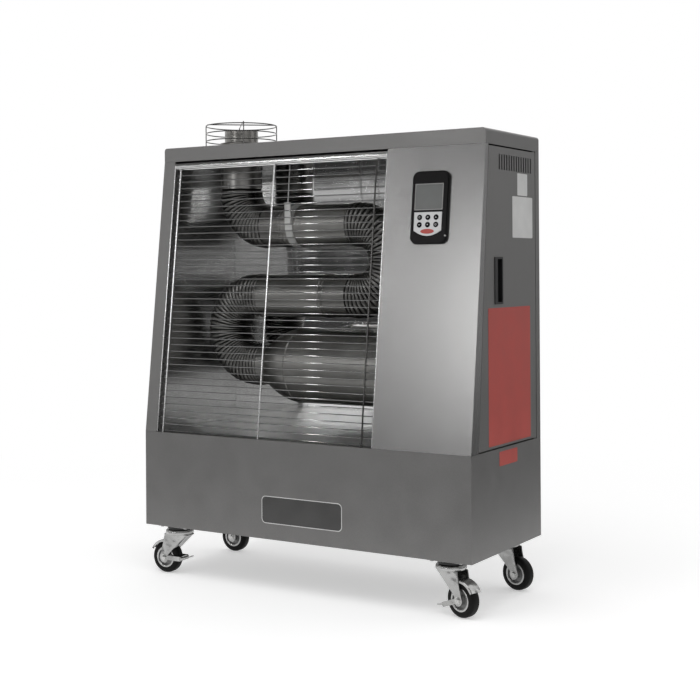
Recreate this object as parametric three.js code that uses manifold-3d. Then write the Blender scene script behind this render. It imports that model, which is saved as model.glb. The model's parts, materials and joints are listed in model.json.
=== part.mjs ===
// Diesel infrared heater on casters: a tank base, a leaning front with a guarded heat tube,
// and a burner compartment with a control unit and a service door.
// Millimetres, +Z up. While it is built, z = 0 is the underside of the base and y = 0 its front.

import * as THREE from "three";
import { mergeVertices } from "three/addons/utils/BufferGeometryUtils.js";
import Module from "manifold-3d";

const manifoldLibrary = await Module();
manifoldLibrary.setup();

// Shared fits
const seatGap = 0.3;             // between two pieces that rest on each other
const overrun = 2;               // how far a cutter passes the faces that it opens
const roundSides = 16;
const rodSides = 12;
const pinSides = 10;
const weldDistance = 0.0005;
const gridPerMillimetre = 1024;  // corners sit on this grid, so faces meant to meet do meet

// Cabinet
const cabinetWidth = 880;
const cabinetDepth = 356;
const baseHeight = 225.4;
const upperTop = 882;            // top edge of the upper panels
const leanSetback = 78;          // how far the front leans back by that edge
const capHeight = 34;
const capCornerRadius = 7;
const sheet = 1.5;
const baseFlange = 24;
const rearFlange = 20;

// Window and front panel
const windowLeftMargin = 33;     // width of the frame strip left of the window
const panelWidth = 240;          // the control panel, right of the window
const leftReturnDepth = 22;
const panelReturnDepth = 18;
const doorFrontAtBottom = 35;    // the door's slanted front edge, measured from the base's front
const doorFrontAtTop = 93;
const doorSeam = 1.2;

// Service door and its hinge
const doorBottomGap = 3;
const doorTopGap = 3;
const doorRearInset = 23.5;      // from the cabinet's rear
const doorFlange = 12;
const hingeInset = 4;            // hinge axis behind the door's outer face
const hingeRearInset = 25;
const hingeRodRadius = 1.9;
const hingeClearance = 0.3;
const knuckleRadius = 3.2;
const knuckleLength = 46;
const hingeTabThickness = 2;
const hingeTabWidth = 13;
const hingeTabReach = 11;
const ventSlotCount = 14;
const ventSlotWidth = 6;
const ventSlotHeight = 34;
const ventSlotFrontInset = 49;   // first slot behind the door's top front corner
const ventSlotRearInset = 26.7;  // last slot ahead of the door's rear edge
const ventSlotTopInset = 18;     // below the panels' top edge
const handleHeightShare = 0.4761; // its lower end, of the upper panels' height
const handleHeight = 102;
const handleFront = 117;
const handleWidth = 40;
const handleLip = 2;
const handleDepth = 18;
const handleWall = 2;
const handleProud = 1.6;
const handleGripReach = 9;

// Rear panel
const rearSlotCount = 6;
const rearSlotPitch = 26;
const rearSlotWidth = 6;
const rearSlotHeight = 60;
const rearSlotRowShares = [0.1136, 0.8447];  // of the upper panels' height
const rearSlotInset = 36;        // first slot right of the window's right edge
const inletInset = 110;          // its middle from the cabinet's right side
const inletRise = 36.6;          // its middle above the base
const inletWidth = 48;
const inletHeight = 30;
const inletFlange = 6;
const inletFlangeThickness = 3;
const inletBodyDepth = 22;
const inletRecess = 14;
const inletRecessMargin = 6;
const inletPinWidth = 2.4;
const inletPinHeight = 6;
const inletPinSpacing = 9;
const inletPinLength = 10;

// Fuel tank and filler
const tankEndGap = 45;           // half of what the tank is shorter than the cabinet
const tankSideGap = 25;
const tankHeight = 180;
const tankOffset = -10;          // the tank's middle, left of the cabinet's
const tankCornerRadius = 24;
const tankWall = 2.5;
const neckRadius = 29;
const neckBore = 25;
const neckHeight = 148;
const neckReach = 9;             // how far the neck stands out of the base
const capSkirtWall = 5;
const capSkirtDepth = 7;
const capTopThickness = 4;
const capGripHeight = 9;
const capGripWidth = 9;
const capClearance = 0.9;

// Partition and burner deck
const partitionInset = 3;        // right of the window's right edge
const deckWidth = 216;
const deckFrontInset = 14;
const deckRearInset = 18;
const partitionFrontInset = 24;
const burnerHoleRadius = 54;

// Reflectors
const reflectorSheet = 1;
const reflectorRearGap = 38;
const reflectorTopInset = 13;
const reflectorFrontInset = 19;
const reflectorLeftInset = 1.8;
const reflectorSideInset = 26;
const flueHoleRadius = 55;

// Wire guard
const guardWireRadius = 1.5;
const guardStayRadius = 2.1;
const guardWireCount = 40;
const guardFirstWire = 5.2;      // lowest wire above the base, along the slope
const guardLastGap = 13.1;       // highest wire below the top rail
const guardWireDepth = 6.2;      // wires' axis behind the front face
const guardWeld = 0.5;           // how far wires and stays sink into each other
const guardStayShares = [0.03, 0.4926, 0.952];  // of the window's width
const guardRightGap = 3;
const railTopInset = 8.2;        // top rail below the slope's upper end
const railHeight = 13;
const railFrontDepth = 2;
const railDepth = 13;
const guardWireSides = 4;        // corners towards the front, so that wires and stays meet edge on
const guardStaySides = 6;

// Heat tube
const tubeDepthShare = 0.5618;   // the tubes' middle, of the cabinet's depth
const tubeRadius = 51;
const tubeBore = 48;
const ribCrestRadius = 53;
const ribRootRadius = 49.4;
const ribPitch = 9.4;
const ribSides = 10;
const boreRingEvery = 5;
const tubeSides = 18;
const bendRadius = 84.5;
const chamberRise = 157.1;       // its axis above the base
const leftBendInset = 160;       // its centre from the window's left edge
const leftBendLead = 26;
const rightBendInset = 148;      // its centre from the window's right edge
const rightBendLead = 14;
const middleCollarShare = 0.282; // the right bend's collar, of the straight run between the bends
const upperCollarShare = 0.2646; // the elbow's collar, of the straight run between the bends
const flueInset = 113;           // the flue's axis from the window's left edge
const flueLead = 8;
const flueTopInset = 10;
const beadHeight = 1.8;
const beadWidth = 5;
const beadInset = 5;             // a bead's middle from its tube's end
const clampInset = 17;           // from the upper tube's joint
const clampWidth = 20;
const clampThickness = 2.4;
const hangerPlateWidth = 17;
const hangerPlateThickness = 4;
const hangerPlateDrop = 2;       // its lower end above the tube's axis
const hangerPlateRise = 55;      // its upper end above the tube's axis
const hangerRodRadius = 1.6;
const hangerRodLean = 10;        // how far the rod runs back on its way up

// Combustion chamber
const chamberRearGap = 28;       // between the chamber and the reflector behind it
const chamberWall = 2;
const chamberConeEndInset = 135; // right of the left bend's centre
const chamberSpigotLength = 47;  // right of the left bend's centre
const chamberShoulderShare = 0.59; // of the widening, where the cone turns over its shoulder
const chamberShoulderLength = 30;
const chamberFlangeReach = 8;
const chamberFlangeThickness = 4;
const chamberSides = 22;
const chamberMouthRadius = 56;
const chamberBeadWidth = 5;
const chamberBeadHeight = 1.5;

// Chimney
const spigotRadius = 41.4;
const spigotBore = 38.6;
const spigotTop = 43.5;          // above the cap
const skirtRadius = 55.5;
const skirtHeight = 14;
const skirtEdge = 3;
const spigotTailLength = 40;
const capHoleClearance = 2.5;
const cageRadius = 88;
const cageWireRadius = 1.6;
const cageRingHeights = [19, 38, 57];
const cageHeight = 61;
const cageLegCount = 4;
const cageLegTurn = 40;          // degrees from +X to the first leg
const cageFootReach = 8;
const cageRingSegments = 18;
const cageWireSides = 4;
const cageCornerRadius = 7;

// Burner
const burnerRadius = 80;
const burnerWall = 2.5;
const burnerFlangeRadius = 70;
const burnerFlangeThickness = 4;
const burnerNeckRadius = 52;
const burnerNeckLength = 10;
const burnerDrumLength = 62;
const blastTubeRadius = 45;
const blastTubeBore = 42;
const blastTubeLength = 52;      // how far it reaches into the chamber
const burnerSides = 18;
const motorRadius = 40;
const motorLength = 74;
const motorFlangeThickness = 3;
const motorArmWidth = 16;
const motorRingInner = 68;
const motorCrownLength = 9;
const motorCrownRadius = 30;
const motorBoreDepth = 30;
const shaftRadius = 4;
const shaftClearance = 0.3;
const fanRadius = 64;
const fanInnerRadius = 46;
const fanDepth = 38;
const fanPlateThickness = 2;
const fanHubRadius = 13;
const fanHubLength = 24;
const fanBladeCount = 10;
const fanBladeThickness = 1.6;
const fanBladeAngle = 35;
const fanWallGap = 6;
const fanMotorGap = 5;
const pumpWidth = 52;
const pumpDepth = 40;
const pumpHeight = 44;
const pumpInset = 49;            // its middle from the partition
const pumpSolenoidRadius = 11;
const pumpSolenoidHeight = 16;
const pumpPortRadius = 6;
const pumpPortLength = 12;
const transformerLength = 62;
const transformerDepth = 104;
const transformerHeight = 66;
const transformerRise = 117.5;   // above the chamber's axis
const transformerLugRadius = 8;
const transformerLugLength = 20;
const transformerEdge = 6;
const filterRadius = 24;
const filterBowlHeight = 46;
const filterHeadHeight = 18;
const filterInset = 88;          // its middle from the cabinet's right side
const filterY = 96;
const filterStemRadius = 9;
const filterStemLength = 14;
const filterFootHeight = 5;
const boxLength = 50;
const boxRearGap = 60;           // behind it, to the cabinet's rear
const boxHeight = 178;
const boxRise = 237.5;           // above the chamber's axis
const boxFront = 128;
const boxEdge = 5;

// Control unit, in places along the leaning front
const controlInset = 124;        // its middle from the cabinet's right side
const controlTopInset = 135.4;   // its middle below the slope's upper end
const controlWidth = 90;
const controlHeight = 160;
const controlCornerRadius = 16;
const controlProud = 8;
const controlBodyDepth = 26;
const controlBodyMargin = 5;
const controlBevel = 2.5;
const controlCutClearance = 0.6;
const lensOffsetX = -2.2;
const lensOffsetUp = 23;
const lensWidth = 69.5;
const lensHeight = 58.4;
const lensThickness = 1.8;
const lensRecess = 0.8;
const keypadOffsetX = -2.2;
const keypadTop = -10.7;
const keypadWidth = 67.5;
const keypadHeight = 52;
const keypadSag = 12;            // how far the lower edge bows
const keypadThickness = 1.5;
const keypadPocketDepth = 6.5;
const buttonRadius = 5.9;
const buttonHoleClearance = 0.3;
const buttonHeight = 4.2;
const buttonProud = 1.2;
const buttonColumns = 3;
const buttonRows = 2;
const buttonSpacingX = 20.1;
const buttonSpacingUp = 16.1;
const buttonTopRow = -22.1;
const buttonCrown = 0.5;
const buttonSides = 12;

// Casters
const casterHeight = 120;
const casterEndInset = 70;       // swivel axis from the cabinet's side
const casterInset = 42;          // swivel axis behind the base's front and before its rear
const plateLength = 92;
const plateWidth = 64;
const plateThickness = 3;
const raceRadius = 30;
const raceHeight = 8;
const crownRadius = 34;
const crownHeight = 12;
const forkSheet = 2.4;
const forkInnerWidth = 26.6;
const casterTrail = 35;
const wheelRadius = 38;
const tyreWidth = 25;
const rimRadius = 25;
const tyreEdge = 5;
const tyreSegments = 20;
const hubSegments = 14;
const hubBossRadius = 9;
const hubWeb = 6;
const rimThickness = 4;
const rimFit = 0.2;
const axleRadius = 4;
const axleClearance = 0.3;
const axleHeadRadius = 7;
const axleHeadThickness = 2.6;
const wheelClearance = 2.6;
const forkEyeRadius = 12;
const forkFrontShare = 0.92;     // of the crown's radius
const forkRearShare = 0.96;
const forkEyeShare = 0.8;        // the flat under the axle, of the eye's radius
const leverThickness = 2;
const leverArmWidth = 11;
const leverReach = 66;
const pedalLength = 19;
const pedalThickness = 2.6;
const pedalLift = 12;            // degrees that the pedal's tip bends up
const leverEyeRadius = 8.5;
const hoodStart = 28;            // degrees above the axle's level
const hoodEnd = 100;

const casters = [
  { name: "front_right", side: 1, end: -1, heading: -16, leverTilt: 20 },
  { name: "front_left", side: -1, end: -1, heading: 183, leverTilt: 0 },
  { name: "rear_right", side: 1, end: 1, heading: -12, leverTilt: null },
  { name: "rear_left", side: -1, end: 1, heading: 180, leverTilt: null },
];

// Derived places
const quarterTurn = Math.PI / 2;
const degree = Math.PI / 180;
const halfWidth = cabinetWidth / 2;
const sideInner = halfWidth - sheet;
const rearInner = cabinetDepth - sheet;
const upperBottom = baseHeight + seatGap;
const leanRise = upperTop - baseHeight;
const leanAngle = Math.atan2(leanSetback, leanRise);
const leanLength = Math.hypot(leanSetback, leanRise);
const capBottom = upperTop + seatGap;
const capTop = capBottom + capHeight;
const controlMiddle = leanLength - controlTopInset;
const railBottom = leanLength - railTopInset - railHeight;
const guardWirePitch = (railBottom - guardLastGap - guardFirstWire) / (guardWireCount - 1);
const reflectorTop = upperTop - reflectorTopInset;
const flueTop = upperTop - flueTopInset;
const ventSlotBottom = upperTop - ventSlotTopInset - ventSlotHeight;
const handleBottom = baseHeight + leanRise * handleHeightShare;
const windowLeft = -halfWidth + windowLeftMargin;
const windowRight = halfWidth - panelWidth;
const windowWidth = windowRight - windowLeft;
const partitionX = windowRight + partitionInset;
const controlX = halfWidth - controlInset;
const reflectorBack = cabinetDepth - reflectorRearGap;
const reflectorLeft = windowLeft + reflectorLeftInset;
const tubeY = cabinetDepth * tubeDepthShare;
const flueX = windowLeft + flueInset;
const leftBendX = windowLeft + leftBendInset;
const rightBendX = windowRight - rightBendInset;
const leftStart = leftBendX + leftBendLead;
const rightStart = rightBendX - rightBendLead;
const elbowEnd = flueX + bendRadius;
const upperJointX = elbowEnd + (rightStart - elbowEnd) * upperCollarShare;
const middleJointX = rightStart - (rightStart - leftStart) * middleCollarShare;
const clampStart = upperJointX + clampInset;
const chamberRadius = reflectorBack - tubeY - chamberRearGap;
const chamberFlangeRadius = chamberRadius + chamberFlangeReach;
const chamberShoulder = tubeRadius + (chamberRadius - tubeRadius) * chamberShoulderShare;
const chamberConeEnd = leftBendX + chamberConeEndInset;
const chamberSpigotEnd = leftBendX + chamberSpigotLength;
const chamberZ = baseHeight + chamberRise;
const middleZ = chamberZ + 2 * bendRadius;
const upperZ = middleZ + 2 * bendRadius;
const hingeX = halfWidth - hingeInset;
const hingeY = cabinetDepth - hingeRearInset;
const doorRearEdge = cabinetDepth - doorRearInset;
const doorSweep = Math.hypot(hingeInset, doorRearEdge - hingeY);
const rearStripFront = hingeY + doorSweep + seatGap;
const hingeTabInset = (Math.min(doorBottomGap, doorTopGap) - hingeTabThickness) / 2;
const deckZ = upperBottom;
const deckTop = deckZ + sheet;
const inletX = halfWidth - inletInset;
const inletCentreZ = baseHeight + inletRise;
const transformerBottom = chamberZ + transformerRise;
const boxBottom = chamberZ + boxRise;
const pumpX = partitionX + pumpInset;
const filterX = halfWidth - filterInset;

function leanY(z) {
  return (leanSetback * (z - baseHeight)) / leanRise;
}

// Solids

function signedVolume(positions, triangles) {
  const a = new THREE.Vector3();
  const b = new THREE.Vector3();
  const c = new THREE.Vector3();
  let sum = 0;
  for (const [i, j, k] of triangles) {
    a.fromArray(positions, 3 * i);
    b.fromArray(positions, 3 * j);
    c.fromArray(positions, 3 * k);
    sum += a.dot(b.cross(c));
  }
  return sum;
}

// A closed geometry as a solid: corners welded, empty triangles dropped, faces turned outwards.
function solid(geometry) {
  const bare = geometry.clone();
  bare.deleteAttribute("normal");
  bare.deleteAttribute("uv");
  const places = bare.attributes.position;
  places.array = places.array.map((value) => Math.round(value * gridPerMillimetre) / gridPerMillimetre);
  const welded = mergeVertices(bare, weldDistance);
  const positions = Float32Array.from(welded.attributes.position.array);
  const index = welded.index.array;
  const triangles = [];
  for (let i = 0; i < index.length; i += 3) {
    const corner = [index[i], index[i + 1], index[i + 2]];
    if (new Set(corner).size === 3) triangles.push(corner);
  }
  if (signedVolume(positions, triangles) < 0) {
    triangles.forEach((corner) => corner.reverse());
  }
  const triVerts = Uint32Array.from(triangles.flat());
  const mesh = new manifoldLibrary.Mesh({ numProp: 3, vertProperties: positions, triVerts });
  return new manifoldLibrary.Manifold(mesh);
}

function join(first, ...rest) {
  return rest.reduce((whole, piece) => whole.add(piece), first);
}

function cut(first, ...rest) {
  return rest.reduce((whole, piece) => whole.subtract(piece), first);
}

function geometryOf(shape) {
  const mesh = shape.getMesh();
  const geometry = new THREE.BufferGeometry();
  geometry.setAttribute("position", new THREE.BufferAttribute(mesh.vertProperties, 3));
  geometry.setIndex(new THREE.BufferAttribute(mesh.triVerts, 1));
  return geometry;
}

function block(x0, x1, y0, y1, z0, z1) {
  const geometry = new THREE.BoxGeometry(x1 - x0, y1 - y0, z1 - z0);
  geometry.translate((x0 + x1) / 2, (y0 + y1) / 2, (z0 + z1) / 2);
  return solid(geometry);
}

function outline(points) {
  return new THREE.Shape(points.map(([u, v]) => new THREE.Vector2(u, v)));
}

function extruded(shape, depth, curveSegments = 4) {
  return new THREE.ExtrudeGeometry(shape, { depth, bevelEnabled: false, curveSegments });
}

// Side-view outline of (y, z) points, extruded from x0 to x1.
function alongX(points, x0, x1) {
  const geometry = extruded(outline(points), x1 - x0);
  const turn = new THREE.Matrix4().makeBasis(
    new THREE.Vector3(0, 1, 0),
    new THREE.Vector3(0, 0, 1),
    new THREE.Vector3(1, 0, 0),
  );
  geometry.applyMatrix4(turn);
  geometry.translate(x0, 0, 0);
  return solid(geometry);
}

// Front-view shape of (x, z), extruded from y0 to y1.
function alongY(shape, y0, y1, curveSegments = 4) {
  const geometry = extruded(shape, y1 - y0, curveSegments);
  geometry.rotateX(quarterTurn);
  geometry.translate(0, y1, 0);
  return solid(geometry);
}

// Plan shape of (x, y), extruded from z0 to z1.
function alongZ(shape, z0, z1, curveSegments = 4) {
  const geometry = extruded(shape, z1 - z0, curveSegments);
  geometry.translate(0, 0, z0);
  return solid(geometry);
}

function roundedRectangle(u0, u1, v0, v1, radius) {
  const shape = new THREE.Shape();
  shape.moveTo(u0 + radius, v0);
  shape.lineTo(u1 - radius, v0);
  shape.absarc(u1 - radius, v0 + radius, radius, -quarterTurn, 0);
  shape.lineTo(u1, v1 - radius);
  shape.absarc(u1 - radius, v1 - radius, radius, 0, quarterTurn);
  shape.lineTo(u0 + radius, v1);
  shape.absarc(u0 + radius, v1 - radius, radius, quarterTurn, Math.PI);
  shape.lineTo(u0, v0 + radius);
  shape.absarc(u0 + radius, v0 + radius, radius, Math.PI, Math.PI + quarterTurn);
  return shape;
}

// A closed profile of [along, radius] points, turned about the X, Y or Z axis.
function turned(profile, axis, segments) {
  const points = profile.map(([along, radius]) => new THREE.Vector2(radius, along));
  points.push(points[0].clone());
  const geometry = new THREE.LatheGeometry(points, segments);
  if (axis === "x") geometry.rotateZ(-quarterTurn);
  if (axis === "z") geometry.rotateX(quarterTurn);
  return solid(geometry);
}

// A plain round bar between two heights along an axis.
function rod(axis, from, to, radius, segments = rodSides) {
  return turned([[from, 0], [from, radius], [to, radius], [to, 0]], axis, segments);
}

// Materials

function finish(color, roughness, metalness) {
  return new THREE.MeshStandardMaterial({ color, roughness, metalness });
}

const greyPaint = finish(0x66676a, 0.5, 0.3);
const silverPanel = finish(0x9b9ca0, 0.42, 0.6);
const mirrorSteel = finish(0xc8c9cb, 0.12, 1);
const tubeSteel = finish(0x6b6862, 0.38, 0.9);
const chromeWire = finish(0xd4d5d8, 0.12, 1);
const zincSteel = finish(0xb9babd, 0.3, 1);
const blackPlastic = finish(0x161618, 0.4, 0);
const silverPlastic = finish(0xc3c4c8, 0.4, 0.2);
const darkGlass = finish(0x6d716f, 0.15, 0);
const tyreRubber = finish(0x151515, 0.7, 0);
const greyHub = finish(0x8a8b8e, 0.5, 0.1);
const castAluminium = finish(0x9a9b9d, 0.5, 0.8);
const tankPlastic = finish(0x2a2b2d, 0.6, 0);
const redPlastic = finish(0x9f2a22, 0.45, 0);
const fanPlastic = finish(0x303236, 0.5, 0);

const heater = new THREE.Group();

function add(name, shape, material, parent = heater) {
  const mesh = new THREE.Mesh(geometryOf(shape), material);
  mesh.name = name;
  parent.add(mesh);
  return mesh;
}

// The front leans back: this group's x runs along the front, y into the cabinet, z up the slope.
const leaningFront = new THREE.Group();
leaningFront.position.set(0, 0, baseHeight);
leaningFront.rotation.x = -leanAngle;
heater.add(leaningFront);
leaningFront.updateMatrixWorld(true);

// A shape given in places on the leaning front, moved into the cabinet's own places.
function fromLeaning(geometry) {
  const moved = geometry.clone();
  moved.applyMatrix4(leaningFront.matrixWorld);
  return solid(moved);
}

// A plan outline of (x, y) points, extruded up between base and cap and sheared to the lean.
function leaningProfile(points) {
  const slope = leanSetback / leanRise;
  const geometry = extruded(outline(points), upperTop - upperBottom);
  geometry.translate(0, 0, upperBottom);
  geometry.applyMatrix4(new THREE.Matrix4().makeShear(0, 0, 0, 0, 0, slope));
  geometry.translate(0, -slope * baseHeight, 0);
  return solid(geometry);
}

// Base

function baseCabinet() {
  const shell = block(-halfWidth, halfWidth, 0, cabinetDepth, 0, baseHeight);
  const cavity = block(-sideInner, sideInner, sheet, rearInner, sheet, baseHeight - sheet);
  const mouthX = halfWidth - baseFlange;
  const mouthRear = cabinetDepth - baseFlange;
  const mouth = block(-mouthX, mouthX, baseFlange, mouthRear, tankHeight, baseHeight + overrun);
  const filler = rod("x", -halfWidth - overrun, -sideInner + overrun, neckRadius + 2 * seatGap, roundSides);
  return cut(shell, cavity, mouth, filler.translate([0, cabinetDepth / 2, neckHeight]));
}

function fuelTank() {
  const x0 = -halfWidth + tankEndGap + tankOffset;
  const x1 = halfWidth - tankEndGap + tankOffset;
  const y0 = tankSideGap;
  const y1 = cabinetDepth - tankSideGap;
  const z0 = sheet + seatGap;
  const z1 = z0 + tankHeight;
  const outer = alongZ(roundedRectangle(x0, x1, y0, y1, tankCornerRadius), z0, z1, 3);
  const inside = [x0 + tankWall, x1 - tankWall, y0 + tankWall, y1 - tankWall, tankCornerRadius - tankWall];
  const hollow = alongZ(roundedRectangle(...inside), z0 + tankWall, z1 - tankWall, 3);
  const neckEnd = -halfWidth - neckReach;
  const toNeck = [0, cabinetDepth / 2, neckHeight];
  const neck = rod("x", neckEnd, x0 + tankWall, neckRadius, roundSides).translate(toNeck);
  const bore = rod("x", neckEnd - overrun, x0 + tankWall + overrun, neckBore, roundSides);
  return cut(join(outer, neck), hollow, bore.translate(toNeck));
}

// Local: the cap's own axis along x, its top towards -x, the origin on the neck's end face.
function fuelCap() {
  const skirtInner = neckRadius + capClearance;
  const skirtOuter = skirtInner + capSkirtWall;
  const top = -seatGap - capTopThickness;
  const body = turned(
    [[top, 0], [top, skirtOuter], [capSkirtDepth, skirtOuter], [capSkirtDepth, skirtInner],
      [-seatGap, skirtInner], [-seatGap, 0]],
    "x",
    roundSides,
  );
  const gripEnd = top - capGripHeight;
  const gripRoot = top + capTopThickness / 2;
  const gripY = capGripWidth / 2;
  const grip = block(gripEnd, gripRoot, -gripY, gripY, -skirtInner, skirtInner);
  return join(body, grip);
}

// Upper cabinet

function leftSidePanel() {
  const rear = rearInner - seatGap;
  const deep = cabinetDepth + overrun;
  const section = leaningProfile([
    [-halfWidth, deep],
    [-halfWidth, 0],
    [windowLeft, 0],
    [windowLeft, leftReturnDepth],
    [windowLeft - sheet, leftReturnDepth],
    [windowLeft - sheet, sheet],
    [-sideInner, sheet],
    [-sideInner, deep],
  ]);
  const flangeEnd = -halfWidth + rearFlange;
  const flange = block(-halfWidth, flangeEnd, rear - sheet, deep, upperBottom, upperTop);
  const behind = block(-cabinetWidth, flangeEnd + overrun, rear, cabinetWidth, 0, capTop);
  return cut(join(section, flange), behind);
}

function frontControlPanel() {
  const section = leaningProfile([
    [windowRight, 0],
    [halfWidth, 0],
    [halfWidth, doorFrontAtTop],
    [sideInner, doorFrontAtTop],
    [sideInner, sheet],
    [windowRight + sheet, sheet],
    [windowRight + sheet, panelReturnDepth],
    [windowRight, panelReturnDepth],
  ]);
  const low = upperBottom - overrun;
  const high = upperTop + overrun;
  const seam = [
    [doorFront(low) - doorSeam, low],
    [doorFront(high) - doorSeam, high],
    [doorRearEdge, high],
    [doorRearEdge, low],
  ];
  const trim = alongX(seam, sideInner - overrun, halfWidth + overrun);
  const cutWidth = controlWidth / 2 - controlBodyMargin + controlCutClearance;
  const cutHeight = controlHeight / 2 - controlBodyMargin + controlCutClearance;
  const opening = new THREE.BoxGeometry(2 * cutWidth, panelReturnDepth, 2 * cutHeight);
  opening.translate(controlX, 0, controlMiddle);
  return cut(section, trim, fromLeaning(opening));
}

function hingeTab(bottom) {
  const top = bottom + hingeTabThickness;
  const y0 = hingeY - hingeTabReach;
  const x0 = sideInner - hingeTabWidth;
  const plate = block(x0, sideInner - seatGap, y0, rearInner + sheet / 2, bottom, top);
  const hole = rod("z", bottom - overrun, top + overrun, hingeRodRadius + hingeClearance, pinSides);
  return cut(plate, hole.translate([hingeX, hingeY, 0]));
}

function rearPanel() {
  const section = alongZ(outline([
    [-halfWidth, rearInner],
    [sideInner, rearInner],
    [sideInner, rearStripFront],
    [halfWidth, rearStripFront],
    [halfWidth, cabinetDepth],
    [-halfWidth, cabinetDepth],
  ]), upperBottom, upperTop);
  const lowTab = hingeTab(upperBottom + hingeTabInset);
  const highTab = hingeTab(upperTop - hingeTabInset - hingeTabThickness);
  const cutters = [];
  for (const share of rearSlotRowShares) {
    const row = baseHeight + share * leanRise;
    for (let i = 0; i < rearSlotCount; i += 1) {
      const x = windowRight + rearSlotInset + i * rearSlotPitch;
      const y0 = rearInner - overrun;
      const y1 = cabinetDepth + overrun;
      cutters.push(block(x, x + rearSlotWidth, y0, y1, row, row + rearSlotHeight));
    }
  }
  const holeX = inletWidth / 2 + seatGap;
  const holeZ = inletHeight / 2 + seatGap;
  cutters.push(block(
    inletX - holeX, inletX + holeX,
    rearInner - overrun, cabinetDepth + overrun,
    inletCentreZ - holeZ, inletCentreZ + holeZ,
  ));
  return cut(join(section, lowTab, highTab), ...cutters);
}

function topCap() {
  const round = (x, z0, z1, radius) => {
    const shape = new THREE.Shape();
    shape.moveTo(-x, z0);
    shape.lineTo(x, z0);
    shape.lineTo(x, z1 - radius);
    shape.absarc(x - radius, z1 - radius, radius, 0, quarterTurn);
    shape.lineTo(-x + radius, z1);
    shape.absarc(-x + radius, z1 - radius, radius, quarterTurn, Math.PI);
    return shape;
  };
  const outer = alongY(round(halfWidth, capBottom, capTop, capCornerRadius), leanSetback, cabinetDepth);
  const innerRadius = capCornerRadius - sheet;
  const innerShape = round(sideInner, capBottom - overrun, capTop - sheet, innerRadius);
  const inner = alongY(innerShape, leanSetback + sheet, rearInner);
  const flueHole = rod("z", capBottom, capTop + overrun, spigotRadius + capHoleClearance, tubeSides);
  return cut(outer, inner, flueHole.translate([flueX, tubeY, 0]));
}

// Service door

function doorFront(z) {
  return doorFrontAtBottom + ((doorFrontAtTop - doorFrontAtBottom) * (z - baseHeight)) / leanRise;
}

function doorOutline(inset) {
  const bottom = upperBottom + doorBottomGap + inset;
  const top = upperTop - doorTopGap - inset;
  const rear = doorRearEdge - inset;
  return [[doorFront(bottom) + inset, bottom], [doorFront(top) + inset, top], [rear, top], [rear, bottom]];
}

function doorKnuckle(bottom) {
  return rod("z", bottom, bottom + knuckleLength, knuckleRadius, pinSides).translate([hingeX, hingeY, 0]);
}

function serviceDoor() {
  const blank = alongX(doorOutline(0), halfWidth - doorFlange, halfWidth);
  const rimInside = alongX(doorOutline(sheet), halfWidth - doorFlange - overrun, sideInner);
  const rearCut = block(
    halfWidth - doorFlange - overrun, sideInner,
    hingeY - knuckleRadius - doorFlange, doorRearEdge + overrun,
    baseHeight, capBottom,
  );
  const first = upperBottom + doorBottomGap + doorFlange;
  const last = upperTop - doorTopGap - doorFlange - knuckleLength;
  const middle = (first + last) / 2;
  const knuckles = [first, middle, last].map(doorKnuckle);
  const shell = join(cut(blank, rimInside, rearCut), ...knuckles);
  const firstSlot = doorFrontAtTop + ventSlotFrontInset;
  const slotPitch = (doorRearEdge - ventSlotRearInset - firstSlot) / (ventSlotCount - 1);
  const cutters = [];
  for (let i = 0; i < ventSlotCount; i += 1) {
    const y = firstSlot + i * slotPitch;
    const z1 = ventSlotBottom + ventSlotHeight;
    cutters.push(block(sideInner - overrun, halfWidth + overrun, y, y + ventSlotWidth, ventSlotBottom, z1));
  }
  cutters.push(block(
    sideInner - overrun, halfWidth + overrun,
    handleFront + handleLip, handleFront + handleWidth - handleLip,
    handleBottom + handleLip, handleBottom + handleHeight - handleLip,
  ));
  const pinHole = rod("z", baseHeight, capBottom, hingeRodRadius + hingeClearance, pinSides);
  return cut(shell, pinHole.translate([hingeX, hingeY, 0]), ...cutters);
}

function doorHandle() {
  const faceIn = halfWidth + seatGap;
  const faceOut = faceIn + handleProud;
  const y0 = handleFront;
  const y1 = handleFront + handleWidth;
  const z0 = handleBottom;
  const z1 = handleBottom + handleHeight;
  const edge = handleLip + seatGap;
  const flange = block(faceIn, faceOut, y0, y1, z0, z1);
  const cupBack = faceOut - handleDepth;
  const cupFront = faceIn + handleProud / 2;
  const cup = block(cupBack, cupFront, y0 + edge, y1 - edge, z0 + edge, z1 - edge);
  const wall = edge + handleWall;
  const floor = cupBack + handleWall;
  const hollow = block(floor, faceOut + overrun, y0 + wall, y1 - wall, z0 + wall, z1 - wall);
  const gripRear = y0 + wall + handleGripReach;
  const grip = block(faceIn, faceOut, y0 + edge, gripRear, z0 + edge, z1 - edge);
  return join(cut(join(flange, cup), hollow), grip);
}

function hingeRod() {
  return rod("z", upperBottom, upperTop, hingeRodRadius, pinSides).translate([hingeX, hingeY, 0]);
}

// Partition, deck and reflectors

function partitionWall() {
  const rear = rearInner - seatGap;
  const top = upperTop - sheet;
  const face = [
    [leanY(deckZ) + partitionFrontInset, deckZ],
    [leanY(top) + partitionFrontInset, top],
    [rear, top],
    [rear, deckZ],
  ];
  const wall = alongX(face, partitionX, partitionX + sheet);
  const deckRear = cabinetDepth - deckRearInset;
  const deck = block(partitionX, partitionX + deckWidth, deckFrontInset, deckRear, deckZ, deckTop);
  const hole = rod("x", partitionX - overrun, partitionX + sheet + overrun, burnerHoleRadius, burnerSides);
  return cut(join(wall, deck), hole.translate([0, tubeY, chamberZ]));
}

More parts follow.
